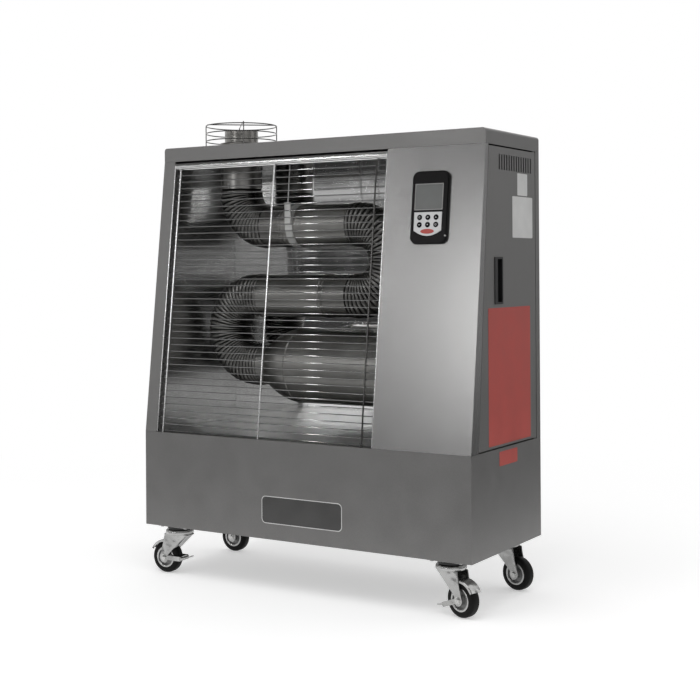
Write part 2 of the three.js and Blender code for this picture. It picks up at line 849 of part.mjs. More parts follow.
// The outline of a bent sheet: a run of points and the same run one thickness further in.
function bentSheet(points, thickness) {
  const inner = points.map(([u, v], i) => {
    const before = points[Math.max(i - 1, 0)];
    const after = points[Math.min(i + 1, points.length - 1)];
    const first = new THREE.Vector2(u - before[0], v - before[1]).normalize();
    const second = new THREE.Vector2(after[0] - u, after[1] - v).normalize();
    if (i === 0) first.copy(second);
    if (i === points.length - 1) second.copy(first);
    const middle = first.clone().add(second).normalize();
    const reach = thickness / middle.dot(first);
    return [u + middle.y * reach, v - middle.x * reach];
  });
  return [...points, ...inner.reverse()];
}

function rearReflector() {
  const bottom = upperBottom + reflectorSheet;
  const run = [
    [leanY(reflectorTop) + reflectorFrontInset, reflectorTop],
    [reflectorBack, reflectorTop],
    [reflectorBack, bottom],
    [leanY(bottom) + reflectorFrontInset, bottom],
  ];
  const left = reflectorLeft + reflectorSheet + seatGap;
  const shell = alongX(bentSheet(run, reflectorSheet), left, partitionX - seatGap);
  const flueHole = rod("z", flueTop - flueHoleRadius, reflectorTop + overrun, flueHoleRadius, tubeSides);
  return cut(shell, flueHole.translate([flueX, tubeY, 0]));
}

function leftReflector() {
  const bottom = upperBottom;
  const top = reflectorTop + reflectorSheet;
  const face = [
    [leanY(bottom) + reflectorSideInset, bottom],
    [leanY(top) + reflectorSideInset, top],
    [reflectorBack, top],
    [reflectorBack, bottom],
  ];
  return alongX(face, reflectorLeft, reflectorLeft + reflectorSheet);
}

// Guard, in places on the leaning front

function wireGuard() {
  const left = windowLeft + seatGap;
  const right = windowRight - guardRightGap;
  const top = railBottom - seatGap;
  const stayDepth = guardWireDepth - guardWireRadius - guardStayRadius + guardWeld;
  const stays = guardStayShares.map((share) => (
    rod("z", 2 * seatGap, top, guardStayRadius, guardStaySides)
      .translate([windowLeft + share * windowWidth, stayDepth, 0])
  ));
  const wire = rod("x", left, right, guardWireRadius, guardWireSides);
  const wires = [];
  for (let i = 0; i < guardWireCount; i += 1) {
    const up = guardFirstWire + i * guardWirePitch;
    wires.push(wire.translate([0, guardWireDepth, up]));
  }
  return join(...stays, ...wires);
}

function guardTopRail() {
  const x0 = windowLeft + seatGap;
  const x1 = windowRight - seatGap;
  const near = railFrontDepth;
  const far = near + railDepth;
  const run = [
    [far, railBottom],
    [near, railBottom],
    [near, railBottom + railHeight],
    [far, railBottom + railHeight],
  ];
  return alongX(bentSheet(run, sheet), x0, x1);
}

// Heat tube

// A path in the x-z plane: a straight lead, a bend and a straight tail.
function bendPath(start, heading, lead, turn, tail) {
  const side = Math.sign(turn);
  const bendLength = Math.abs(turn) * bendRadius;
  const at = (origin, angle, distance) => [
    origin[0] + distance * Math.cos(angle),
    origin[1] + distance * Math.sin(angle),
  ];
  const bendStart = at(start, heading, lead);
  const centre = at(bendStart, heading + side * quarterTurn, bendRadius);
  const bendEnd = at(centre, heading + turn - side * quarterTurn, bendRadius);
  const place = (s) => {
    if (s <= lead) return { point: at(start, heading, s), angle: heading };
    if (s >= lead + bendLength) {
      const angle = heading + turn;
      return { point: at(bendEnd, angle, s - lead - bendLength), angle };
    }
    const angle = heading + (side * (s - lead)) / bendRadius;
    return { point: at(centre, angle - side * quarterTurn, bendRadius), angle };
  };
  return { place, lead, bendLength, length: lead + bendLength + tail };
}

function ringOfPoints({ point, angle }, radius) {
  const ring = [];
  for (let i = 0; i < ribSides; i += 1) {
    const around = (i * 2 * Math.PI) / ribSides;
    const out = radius * Math.cos(around);
    const x = point[0] - out * Math.sin(angle);
    const z = point[1] + out * Math.cos(angle);
    ring.push([x, tubeY + radius * Math.sin(around), z]);
  }
  return ring;
}

// A pleated tube: outer rings with their radii, a plain bore inside, ring-shaped ends.
function pleatedTube(path, outerStations, boreStations) {
  const rings = [
    ...outerStations.map(([s, radius]) => ringOfPoints(path.place(s), radius)),
    ...boreStations.map((s) => ringOfPoints(path.place(s), tubeBore)).reverse(),
  ];
  const indices = [];
  rings.forEach((_, i) => {
    const next = (i + 1) % rings.length;
    for (let j = 0; j < ribSides; j += 1) {
      const k = (j + 1) % ribSides;
      const a = i * ribSides + j;
      const b = i * ribSides + k;
      const c = next * ribSides + k;
      const d = next * ribSides + j;
      indices.push(a, b, c, a, c, d);
    }
  });
  const geometry = new THREE.BufferGeometry();
  geometry.setAttribute("position", new THREE.Float32BufferAttribute(rings.flat(2), 3));
  geometry.setIndex(indices);
  return solid(geometry);
}

// Pleats from one place along the path to another: a root ring and a crest ring for each.
function pleats(from, to) {
  const count = Math.round((to - from) / ribPitch);
  const pitch = (to - from) / count;
  const stations = [];
  for (let i = 0; i < count; i += 1) {
    stations.push([from + i * pitch, ribRootRadius]);
    stations.push([from + (i + 0.5) * pitch, ribCrestRadius]);
  }
  stations.push([to, ribRootRadius]);
  return stations;
}

function boreStations(from, to, stretchEnds) {
  const step = boreRingEvery * ribPitch;
  const stations = [...stretchEnds];
  for (let i = 1; from + i * step < to - step / 2; i += 1) stations.push(from + i * step);
  return [...new Set([0, ...stations])].sort((a, b) => a - b);
}

function collarWithBead(end, inward) {
  const bead = end + inward * beadInset;
  const reach = beadWidth / 2;
  return [
    [end, tubeRadius],
    [bead - inward * reach, tubeRadius],
    [bead, tubeRadius + beadHeight],
    [bead + inward * reach, tubeRadius],
  ];
}

function leftReturnBend() {
  const start = [leftStart - seatGap, middleZ];
  const lead = leftBendLead - seatGap;
  const path = bendPath(start, Math.PI, lead, Math.PI, lead);
  return pleatedTube(path, pleats(0, path.length), boreStations(0, path.length, [path.length]));
}

function rightReturnBend() {
  const lead = rightBendLead - seatGap;
  const start = [rightBendX - lead, upperZ];
  const tail = rightBendX - middleJointX - seatGap;
  const path = bendPath(start, 0, lead, -Math.PI, tail);
  const pleatEnd = lead + path.bendLength + rightBendLead;
  const outer = [
    ...pleats(0, pleatEnd),
    [pleatEnd + beadWidth / 2, tubeRadius],
    ...collarWithBead(path.length, -1).reverse(),
  ];
  return pleatedTube(path, outer, boreStations(0, pleatEnd, [pleatEnd, path.length]));
}

function flueElbow() {
  const bendTop = upperZ + bendRadius;
  const lead = flueTop - bendTop;
  const tail = upperJointX - seatGap - (flueX + bendRadius);
  const path = bendPath([flueX, flueTop], -quarterTurn, lead, quarterTurn, tail);
  const pleatStart = lead - flueLead;
  const pleatEnd = lead + path.bendLength;
  const outer = [
    [0, tubeRadius],
    [pleatStart - beadWidth / 2, tubeRadius],
    ...pleats(pleatStart, pleatEnd),
    [pleatEnd + beadWidth / 2, tubeRadius],
    ...collarWithBead(path.length, -1).reverse(),
  ];
  return pleatedTube(path, outer, boreStations(pleatStart, pleatEnd, [pleatStart, pleatEnd, path.length]));
}

// A straight tube along x with a bead near one end or both.
function straightTube(x0, x1, z, beads) {
  const reach = beadWidth / 2;
  const outside = [[x0, tubeRadius]];
  for (const x of beads) {
    outside.push([x - reach, tubeRadius], [x, tubeRadius + beadHeight], [x + reach, tubeRadius]);
  }
  outside.push([x1, tubeRadius], [x1, tubeBore], [x0, tubeBore]);
  return turned(outside, "x", tubeSides).translate([0, tubeY, z]);
}

// The clamp round the upper tube and the rod that hangs it from the reflector's top.
function tubeClamp() {
  const inner = tubeRadius + seatGap;
  const outer = inner + clampThickness;
  const x1 = clampStart + clampWidth;
  const band = turned([[clampStart, inner], [clampStart, outer], [x1, outer], [x1, inner]], "x", tubeSides)
    .translate([0, tubeY, upperZ]);
  const middle = (clampStart + x1) / 2;
  const plateX = hangerPlateWidth / 2;
  const plateBack = tubeY - outer + clampThickness / 2;
  const plateFront = plateBack - hangerPlateThickness;
  const plateTop = upperZ + hangerPlateRise;
  const plate = block(
    middle - plateX, middle + plateX, plateFront, plateBack, upperZ + hangerPlateDrop, plateTop,
  );
  const rodFoot = plateTop - hangerPlateThickness;
  const rodTop = reflectorTop - reflectorSheet - seatGap;
  const bar = new THREE.CylinderGeometry(
    hangerRodRadius, hangerRodRadius, rodTop - rodFoot, pinSides,
  );
  bar.rotateX(quarterTurn);
  bar.translate(0, 0, (rodTop - rodFoot) / 2);
  bar.applyMatrix4(new THREE.Matrix4().makeShear(0, 0, 0, 0, 0, hangerRodLean / (rodTop - rodFoot)));
  bar.translate(middle, (plateFront + plateBack) / 2, rodFoot);
  return join(band, plate, solid(bar));
}

function combustionChamber() {
  const wall = chamberWall;
  const start = leftStart + seatGap;
  const end = partitionX - seatGap;
  const beadStart = chamberConeEnd + chamberBeadWidth / 2;
  const shoulderStart = chamberConeEnd - chamberShoulderLength;
  const outside = [
    [start, tubeRadius],
    [chamberSpigotEnd, tubeRadius],
    [shoulderStart, chamberShoulder],
    [chamberConeEnd - chamberShoulderLength / 2, (chamberShoulder + 2 * chamberRadius) / 3],
    [chamberConeEnd, chamberRadius],
    [beadStart, chamberRadius + chamberBeadHeight],
    [beadStart + chamberBeadWidth / 2, chamberRadius],
    [end - chamberFlangeThickness, chamberRadius],
    [end - chamberFlangeThickness, chamberFlangeRadius],
    [end, chamberFlangeRadius],
  ];
  const inside = [
    [end, chamberMouthRadius],
    [end - chamberFlangeThickness, chamberMouthRadius],
    [end - chamberFlangeThickness, chamberRadius - wall],
    [chamberConeEnd + wall, chamberRadius - wall],
    [shoulderStart + wall, chamberShoulder - wall],
    [chamberSpigotEnd + wall, tubeBore],
    [start, tubeBore],
  ];
  return turned([...outside, ...inside], "x", chamberSides).translate([0, tubeY, chamberZ]);
}

// Chimney, in places above the cap on the flue's axis

function chimneySpigot() {
  return turned([
    [-spigotTailLength, spigotBore],
    [-spigotTailLength, spigotRadius],
    [seatGap, spigotRadius],
    [seatGap, skirtRadius],
    [skirtHeight - skirtEdge, skirtRadius],
    [skirtHeight, skirtRadius - skirtEdge],
    [skirtHeight, spigotRadius],
    [spigotTop, spigotRadius],
    [spigotTop, spigotBore],
  ], "z", tubeSides);
}

// One bent wire: foot, leg, over the top, leg, foot.
function cageHoop(angle) {
  const across = new THREE.Vector3(Math.cos(angle), Math.sin(angle), 0);
  const floor = seatGap + cageWireRadius;
  const places = [
    [-cageRadius - cageFootReach, floor],
    [-cageRadius, floor],
    [-cageRadius, cageHeight - cageCornerRadius],
    [-cageRadius + cageCornerRadius, cageHeight],
    [cageRadius - cageCornerRadius, cageHeight],
    [cageRadius, cageHeight - cageCornerRadius],
    [cageRadius, floor],
    [cageRadius + cageFootReach, floor],
  ];
  const points = places.map(([u, z]) => across.clone().multiplyScalar(u).setZ(z));
  return points.slice(1).map((point, i) => barBetween(points[i], point, cageWireRadius, cageWireSides));
}

// A straight wire between two points, a little longer than the gap so that corners fuse.
function barBetween(from, to, radius, sides) {
  const direction = to.clone().sub(from);
  const length = direction.length();
  const geometry = new THREE.CylinderGeometry(radius, radius, length + radius, sides);
  const turn = new THREE.Quaternion().setFromUnitVectors(new THREE.Vector3(0, 1, 0), direction.normalize());
  geometry.applyQuaternion(turn);
  const middle = from.clone().add(to).divideScalar(2);
  geometry.translate(middle.x, middle.y, middle.z);
  return solid(geometry);
}

function chimneyGuard() {
  const hoops = [];
  for (let i = 0; i < cageLegCount / 2; i += 1) {
    hoops.push(...cageHoop(cageLegTurn * degree + i * quarterTurn));
  }
  const rings = cageRingHeights.map((height) => {
    const geometry = new THREE.TorusGeometry(cageRadius, cageWireRadius, cageWireSides, cageRingSegments);
    geometry.translate(0, 0, height);
    return solid(geometry);
  });
  return join(...hoops, ...rings);
}

// Burner, along x from the partition

function burnerHousing() {
  const wallFace = partitionX + sheet + seatGap;
  const neckStart = wallFace + burnerFlangeThickness;
  const drumStart = neckStart + burnerNeckLength;
  const drumEnd = drumStart + burnerDrumLength;
  return turned([
    [wallFace - blastTubeLength, blastTubeBore],
    [wallFace - blastTubeLength, blastTubeRadius],
    [wallFace, blastTubeRadius],
    [wallFace, burnerFlangeRadius],
    [neckStart, burnerFlangeRadius],
    [neckStart, burnerNeckRadius],
    [drumStart, burnerNeckRadius],
    [drumStart, burnerRadius],
    [drumEnd, burnerRadius],
    [drumEnd, burnerRadius - burnerWall],
    [drumStart + burnerWall, burnerRadius - burnerWall],
    [drumStart + burnerWall, blastTubeBore],
  ], "x", burnerSides).translate([0, tubeY, chamberZ]);
}

const drumMouth = partitionX + sheet + seatGap + burnerFlangeThickness + burnerNeckLength + burnerDrumLength;

function burnerMotor() {
  const face = drumMouth + seatGap;
  const back = face + motorFlangeThickness;
  const end = back + motorLength;
  const ring = turned(
    [[face, motorRingInner], [face, burnerRadius], [back, burnerRadius], [back, motorRingInner]],
    "x",
    burnerSides,
  );
  const armY = motorArmWidth / 2;
  const armReach = burnerRadius - burnerWall;
  const flatArm = block(face, back, -armReach, armReach, -armY, armY);
  const uprightArm = block(face, back, -armY, armY, -armReach, armReach);
  const crown = end - motorCrownLength;
  const body = turned(
    [[face, 0], [face, motorRadius], [crown, motorRadius], [end, motorCrownRadius], [end, 0]],
    "x",
    tubeSides,
  );
  const bore = rod("x", face - overrun, face + motorBoreDepth, shaftRadius + shaftClearance, pinSides);
  return cut(join(ring, flatArm, uprightArm, body), bore).translate([0, tubeY, chamberZ]);
}

// Local: the shaft along x, the origin on the motor's mounting face.
function burnerFan() {
  const plateBack = -burnerDrumLength + burnerWall + fanWallGap;
  const plateFront = plateBack + fanPlateThickness;
  const plate = rod("x", plateBack, plateFront, fanRadius, roundSides);
  const hub = rod("x", plateBack, plateBack + fanHubLength, fanHubRadius, rodSides);
  const shaft = rod("x", plateBack, motorBoreDepth - overrun, shaftRadius, pinSides);
  const tip = Math.min(plateBack + fanDepth, -fanMotorGap);
  const rim = turned(
    [[tip - fanPlateThickness, fanInnerRadius], [tip - fanPlateThickness, fanRadius],
      [tip, fanRadius], [tip, fanInnerRadius]],
    "x",
    roundSides,
  );
  const blades = [];
  const chord = fanRadius - fanInnerRadius;
  for (let i = 0; i < fanBladeCount; i += 1) {
    const blade = new THREE.BoxGeometry(tip - plateFront, fanBladeThickness, chord);
    blade.translate((plateFront + tip) / 2 - fanPlateThickness / 2, 0, 0);
    blade.rotateX(fanBladeAngle * degree);
    blade.translate(0, 0, (fanRadius + fanInnerRadius) / 2 - fanBladeThickness);
    blade.rotateX((i * 2 * Math.PI) / fanBladeCount);
    blades.push(solid(blade));
  }
  return join(plate, hub, shaft, rim, ...blades);
}

function fuelPump() {
  const x0 = pumpX - pumpWidth / 2;
  const y0 = tubeY - pumpDepth / 2;
  const z0 = deckTop + seatGap;
  const top = z0 + pumpHeight;
  const body = block(x0, x0 + pumpWidth, y0, y0 + pumpDepth, z0, top);
  const solenoid = rod("z", top - overrun, top + pumpSolenoidHeight, pumpSolenoidRadius, rodSides);
  const port = rod("x", x0 + pumpWidth - overrun, x0 + pumpWidth + pumpPortLength, pumpPortRadius, 6);
  const middle = z0 + pumpHeight / 2;
  return join(body, solenoid.translate([pumpX, tubeY, 0]), port.translate([0, tubeY, middle]));
}

function ignitionTransformer() {
  const x0 = partitionX + sheet + seatGap;
  const x1 = x0 + transformerLength;
  const y0 = tubeY - transformerDepth / 2;
  const y1 = y0 + transformerDepth;
  const z0 = transformerBottom;
  const z1 = z0 + transformerHeight;
  const body = alongZ(roundedRectangle(x0, x1, y0, y1, transformerEdge), z0, z1, 2);
  const lug = rod("z", z0 - transformerLugLength, z0 + overrun, transformerLugRadius, pinSides);
  const lugX = (x0 + x1) / 2;
  const spread = transformerDepth / 4;
  return join(body, lug.translate([lugX, tubeY - spread, 0]), lug.translate([lugX, tubeY + spread, 0]));
}

function fuelFilter() {
  const z0 = deckTop + seatGap;
  const bowlStart = z0 + filterFootHeight + filterStemLength;
  const headStart = bowlStart + filterBowlHeight;
  const headEnd = headStart + filterHeadHeight;
  return turned([
    [z0, 0],
    [z0, filterRadius],
    [z0 + filterFootHeight, filterRadius],
    [z0 + filterFootHeight, filterStemRadius],
    [bowlStart, filterStemRadius],
    [bowlStart + filterStemRadius, filterRadius - filterFootHeight],
    [headStart, filterRadius - filterFootHeight],
    [headStart, filterRadius],
    [headEnd, filterRadius],
    [headEnd, 0],
  ], "z", rodSides).translate([filterX, filterY, 0]);
}

function electricalBox() {
  const x0 = partitionX + sheet + seatGap;
  const x1 = x0 + boxLength;
  const shape = roundedRectangle(x0, x1, boxFront, cabinetDepth - boxRearGap, boxEdge);
  return alongZ(shape, boxBottom, boxBottom + boxHeight, 2);
}

// Power inlet, on the rear panel

function powerInlet() {
  const outer = cabinetDepth + seatGap;
  const x = inletWidth / 2;
  const z = inletHeight / 2;
  const flangeX = x + inletFlange;
  const flangeZ = z + inletFlange;
  const flange = block(-flangeX, flangeX, outer, outer + inletFlangeThickness, -flangeZ, flangeZ);
  const body = block(-x, x, outer - inletBodyDepth, outer + inletFlangeThickness / 2, -z, z);
  const mouthX = x - inletRecessMargin;
  const mouthZ = z - inletRecessMargin;
  const mouthEnd = outer + inletFlangeThickness;
  const recess = block(-mouthX, mouthX, mouthEnd - inletRecess, mouthEnd + overrun, -mouthZ, mouthZ);
  const pins = [-1, 0, 1].map((place) => {
    const centre = place * inletPinSpacing;
    const pinX = inletPinWidth / 2;
    const pinZ = inletPinHeight / 2;
    const y0 = mouthEnd - inletRecess - overrun;
    return block(centre - pinX, centre + pinX, y0, y0 + overrun + inletPinLength, -pinZ, pinZ);
  });
  return join(cut(join(flange, body), recess), ...pins).translate([inletX, 0, inletCentreZ]);
}

// Control unit, around its own middle on the leaning front

function keypadShape(margin) {
  const x = keypadWidth / 2 + margin;
  const top = keypadTop + margin;
  const bottom = keypadTop - keypadHeight - margin;
  const shape = new THREE.Shape();
  shape.moveTo(keypadOffsetX - x, top);
  shape.lineTo(keypadOffsetX - x, bottom + keypadSag);
  shape.quadraticCurveTo(keypadOffsetX, bottom - keypadSag, keypadOffsetX + x, bottom + keypadSag);
  shape.lineTo(keypadOffsetX + x, top);
  shape.closePath();
  return shape;
}

function controlHousing() {
  const x = controlWidth / 2;
  const z = controlHeight / 2;
  const faceShape = roundedRectangle(-x, x, -z, z, controlCornerRadius);
  const topX = x - controlBevel;
  const topZ = z - controlBevel;
  const topShape = roundedRectangle(-topX, topX, -topZ, topZ, controlCornerRadius - controlBevel);
  const bodyX = x - controlBodyMargin;
  const bodyZ = z - controlBodyMargin;
  const back = -seatGap;
  const lower = alongY(faceShape, -controlProud + controlBevel, back, 4);
  const upper = alongY(topShape, -controlProud, -controlProud + controlBevel + seatGap, 4);
  const body = block(-bodyX, bodyX, -controlProud / 2, controlBodyDepth, -bodyZ, bodyZ);
  const lensX = lensWidth / 2 + seatGap;
  const lensZ = lensHeight / 2 + seatGap;
  const lensFloor = -controlProud + lensThickness + lensRecess;
  const lensPocket = block(
    lensOffsetX - lensX, lensOffsetX + lensX,
    -controlProud - overrun, lensFloor,
    lensOffsetUp - lensZ, lensOffsetUp + lensZ,
  );
  const keypadFloor = -controlProud + keypadPocketDepth;
  const keypadPocket = alongY(keypadShape(seatGap), -controlProud - overrun, keypadFloor, 6);
  return cut(join(lower, upper, body), lensPocket, keypadPocket);
}

function displayLens() {
  const x = lensWidth / 2;
  const z = lensHeight / 2;
  const back = -controlProud + lensThickness + lensRecess - seatGap;
  const low = lensOffsetUp - z;
  return block(lensOffsetX - x, lensOffsetX + x, back - lensThickness, back, low, low + lensHeight);
}

function buttonPlaces() {
  const places = [];
  for (let row = 0; row < buttonRows; row += 1) {
    for (let column = 0; column < buttonColumns; column += 1) {
      const x = keypadOffsetX + (column - (buttonColumns - 1) / 2) * buttonSpacingX;
      places.push([x, buttonTopRow - row * buttonSpacingUp]);
    }
  }
  return places;
}

function keypadPlate() {
  const plate = alongY(keypadShape(0), -controlProud, -controlProud + keypadThickness, 6);
  const holes = buttonPlaces().map(([x, up]) => (
    rod("y", -controlProud - overrun, overrun, buttonRadius + buttonHoleClearance, buttonSides)
      .translate([x, 0, up])
  ));
  return cut(plate, ...holes);
}

// Local: the button's axis along y, its outer face at the origin's plane.
function button() {
  return turned([
    [0, 0],
    [0, buttonRadius - buttonCrown],
    [buttonCrown, buttonRadius],
    [buttonHeight, buttonRadius],
    [buttonHeight, 0],
  ], "y", buttonSides);
}

// Casters, around the swivel axis under the mounting face, trailing towards +x

const crownTop = -(plateThickness + raceHeight + seatGap);
const crownBottom = crownTop - crownHeight;
const axleZ = -(casterHeight - seatGap - wheelRadius);
const forkOuter = forkInnerWidth / 2 + forkSheet;
const leverInner = forkOuter + seatGap;
const headInner = leverInner + leverThickness + seatGap;

function casterPlate() {
  const x = plateLength / 2;
  const y = plateWidth / 2;
  const plate = block(-x, x, -y, y, -plateThickness, 0);
  const race = turned([
    [-plateThickness, 0],
    [-plateThickness, raceRadius - plateThickness],
    [-plateThickness - raceHeight / 2, raceRadius],
    [-plateThickness - raceHeight, raceRadius - plateThickness],
    [-plateThickness - raceHeight, 0],
  ], "z", roundSides);
  return join(plate, race.translate([0, 0, seatGap / 2]));
}

function forkProfile() {
  const eye = new THREE.Vector2(casterTrail, axleZ);
  const start = -crownRadius * forkFrontShare;
  const end = crownRadius * forkRearShare;
  return [
    [start, crownBottom],
    [start + forkSheet, crownBottom - forkEyeRadius / 2],
    [eye.x - forkEyeRadius, eye.y + forkEyeRadius / 2],
    [eye.x - forkEyeRadius / 2, eye.y - forkEyeRadius * forkEyeShare],
    [eye.x + forkEyeRadius / 2, eye.y - forkEyeRadius * forkEyeShare],
    [eye.x + forkEyeRadius, eye.y + forkEyeRadius / 2],
    [end + forkSheet, crownBottom - forkEyeRadius],
    [end, crownBottom],
  ];
}

function casterFork(withHood) {
  const side = outline(forkProfile());
  const legs = alongY(side, -forkOuter, forkOuter);
  const inner = forkInnerWidth / 2;
  const apron = forkSheet + forkSheet / 2;
  const channel = outline([
    [-crownRadius + 2 * apron, crownBottom - forkSheet],
    [-crownRadius + 2 * apron, crownBottom - forkEyeRadius / 2],
    [casterTrail - forkEyeRadius + apron, axleZ + forkEyeRadius / 2],
    [casterTrail - forkEyeRadius + apron, axleZ - wheelRadius],
    [casterTrail + wheelRadius, axleZ - wheelRadius],
    [casterTrail + wheelRadius, crownBottom - forkSheet],
  ]);
  const hollow = alongY(channel, -inner, inner);
  const wheelSpace = rod("y", -inner, inner, wheelRadius + wheelClearance, tyreSegments);
  const crown = turned([
    [crownBottom - forkSheet / 2, 0],
    [crownBottom - forkSheet / 2, crownRadius - forkSheet],
    [crownBottom + crownHeight / 2, crownRadius],
    [crownTop, crownRadius - forkSheet],
    [crownTop, 0],
  ], "z", roundSides);
  const axle = rod("y", -headInner - seatGap, headInner + seatGap, axleRadius, pinSides);
  const head = rod("y", headInner, headInner + axleHeadThickness, axleHeadRadius, 6);
  const otherHead = rod("y", -headInner - axleHeadThickness, -headInner, axleHeadRadius, 6);
  const toAxle = [casterTrail, 0, axleZ];
  const shell = cut(join(legs, crown), hollow, wheelSpace.translate(toAxle));
  const pieces = [shell, axle.translate(toAxle), head.translate(toAxle), otherHead.translate(toAxle)];
  if (withHood) pieces.push(forkHood());
  return join(...pieces);
}

// The curved cover over the trailing side of a braked wheel.
function forkHood() {
  const inner = wheelRadius + wheelClearance;
  const outer = inner + forkSheet;
  const from = hoodStart * degree;
  const to = hoodEnd * degree;
  const shape = new THREE.Shape();
  shape.absarc(casterTrail, axleZ, outer, from, to);
  shape.absarc(casterTrail, axleZ, inner, to, from, true);
  return alongY(shape, -forkOuter, forkOuter, 5);
}

// Local: the axle along y through the origin.
function casterHub() {
  const y = tyreWidth / 2 - rimFit;
  const rimInner = rimRadius - rimThickness;
  const web = hubWeb / 2;
  const bore = axleRadius + axleClearance;
  return turned([
    [-y, bore],
    [-y, hubBossRadius],
    [-web, hubBossRadius],
    [-web, rimInner],
    [-y, rimInner],
    [-y, rimRadius],
    [y, rimRadius],
    [y, rimInner],
    [web, rimInner],
    [web, hubBossRadius],
    [y, hubBossRadius],
    [y, bore],
  ], "y", hubSegments);
}

function casterTyre() {
  const y = tyreWidth / 2;
  const seat = (rimRadius + rimFit) / Math.cos(Math.PI / tyreSegments);
  const outer = wheelRadius / Math.cos(Math.PI / tyreSegments);
  return turned([
    [-y, seat],
    [-y, outer - tyreEdge - rimFit],
    [-y + tyreEdge, outer],
    [y - tyreEdge, outer],
    [y, outer - tyreEdge - rimFit],
    [y, seat],
  ], "y", tyreSegments);
}

// Local: the axle along y through the origin, the pedal towards -x.
function brakeLever() {
  const arm = new THREE.Shape();
  const reach = leverReach - pedalLength;
  const armHalf = leverArmWidth / 2;
  arm.moveTo(-reach, armHalf);
  arm.lineTo(-reach, -armHalf);
  arm.lineTo(0, -armHalf);
  arm.absarc(0, 0, leverEyeRadius, -quarterTurn, quarterTurn);
  arm.lineTo(0, armHalf);
  const outer = leverInner + leverThickness;
  const arms = [alongY(arm, leverInner, outer, 4), alongY(arm, -outer, -leverInner, 4)];
  const hole = rod("y", -outer - overrun, outer + overrun, axleRadius + axleClearance, pinSides);
  const within = leverInner + leverThickness / 2;
  const pedal = new THREE.BoxGeometry(pedalLength, 2 * within, pedalThickness);
  pedal.translate(-pedalLength / 2 + leverThickness, 0, 0);
  pedal.rotateY(pedalLift * degree);
  pedal.translate(-reach, 0, 0);
  const bridgeHalf = armHalf - leverThickness / 2;
  const bridge = block(-reach - overrun, -reach + leverThickness, -within, within, -bridgeHalf, bridgeHalf);
  return cut(join(arms[0], arms[1], bridge, solid(pedal)), hole);
}

function addCaster({ name, side, end, heading, leverTilt }) {
  const mount = new THREE.Group();
  const y = end < 0 ? casterInset : cabinetDepth - casterInset;
  mount.position.set(side * (halfWidth - casterEndInset), y, -seatGap);
  heater.add(mount);
  add(`caster_plate_${name}`, casterPlate(), zincSteel, mount);
  const swivel = new THREE.Group();
  swivel.rotation.z = heading * degree;
  mount.add(swivel);
  const braked = leverTilt !== null;
  add(`caster_fork_${name}`, casterFork(braked), zincSteel, swivel);
  const wheel = new THREE.Group();
  wheel.position.set(casterTrail, 0, axleZ);
  swivel.add(wheel);
  add(`caster_hub_${name}`, casterHub(), greyHub, wheel);
  const tyre = add(`caster_tyre_${name}`, casterTyre(), tyreRubber, wheel);
  tyre.rotation.y = Math.PI / tyreSegments;
  if (braked) {
    const lever = add(`brake_lever_${name}`, brakeLever(), zincSteel, wheel);
    lever.rotation.y = -leverTilt * degree;
  }
}

// The assembly

function addCabinet() {
  add("base_cabinet", baseCabinet(), greyPaint);
  add("fuel_tank", fuelTank(), tankPlastic);
  const cap = add("fuel_cap", fuelCap(), redPlastic);
  cap.position.set(-halfWidth - neckReach, cabinetDepth / 2, neckHeight);
  add("left_side_panel", leftSidePanel(), greyPaint);
  add("front_control_panel", frontControlPanel(), silverPanel);
  add("rear_panel", rearPanel(), greyPaint);
  add("top_cap", topCap(), greyPaint);
  add("partition_wall", partitionWall(), zincSteel);
  add("rear_reflector", rearReflector(), mirrorSteel);
  add("left_reflector", leftReflector(), mirrorSteel);
  add("service_door", serviceDoor(), greyPaint);
  add("door_handle", doorHandle(), blackPlastic);
  add("door_hinge_rod", hingeRod(), zincSteel);
  add("power_inlet", powerInlet(), blackPlastic);
}

function addHeatTube() {
  add("flue_elbow", flueElbow(), tubeSteel);
  add("upper_tube", straightTube(upperJointX, rightStart, upperZ, [upperJointX + beadInset]), tubeSteel);
  add("right_return_bend", rightReturnBend(), tubeSteel);
  add("middle_tube", straightTube(leftStart, middleJointX, middleZ, [middleJointX - beadInset]), tubeSteel);
  add("left_return_bend", leftReturnBend(), tubeSteel);
  add("combustion_chamber", combustionChamber(), tubeSteel);
  add("tube_clamp", tubeClamp(), chromeWire);
}

function addChimney() {
  const chimney = new THREE.Group();
  chimney.position.set(flueX, tubeY, capTop);
  heater.add(chimney);
  add("chimney_spigot", chimneySpigot(), tubeSteel, chimney);
  add("chimney_guard", chimneyGuard(), chromeWire, chimney);
}

function addBurner() {
  add("burner_housing", burnerHousing(), castAluminium);
  add("burner_motor", burnerMotor(), blackPlastic);
  const fan = add("burner_fan", burnerFan(), fanPlastic);
  fan.position.set(drumMouth + seatGap, tubeY, chamberZ);
  add("fuel_pump", fuelPump(), castAluminium);
  add("ignition_transformer", ignitionTransformer(), blackPlastic);
  add("fuel_filter", fuelFilter(), castAluminium);
  add("electrical_box", electricalBox(), silverPlastic);
}

function addFront() {
  add("wire_guard", wireGuard(), chromeWire, leaningFront);
  add("guard_top_rail", guardTopRail(), mirrorSteel, leaningFront);
  const unit = new THREE.Group();
  unit.position.set(controlX, 0, controlMiddle);
  leaningFront.add(unit);
  add("control_unit_housing", controlHousing(), blackPlastic, unit);
  add("display_lens", displayLens(), darkGlass, unit);
  add("keypad_plate", keypadPlate(), silverPlastic, unit);
  buttonPlaces().forEach(([x, up], i) => {
    const key = add(`button_${i + 1}`, button(), blackPlastic, unit);
    key.position.set(x, -controlProud - buttonProud, up);
  });
}

addCabinet();
addHeatTube();
addChimney();
addBurner();
addFront();
casters.forEach(addCaster);

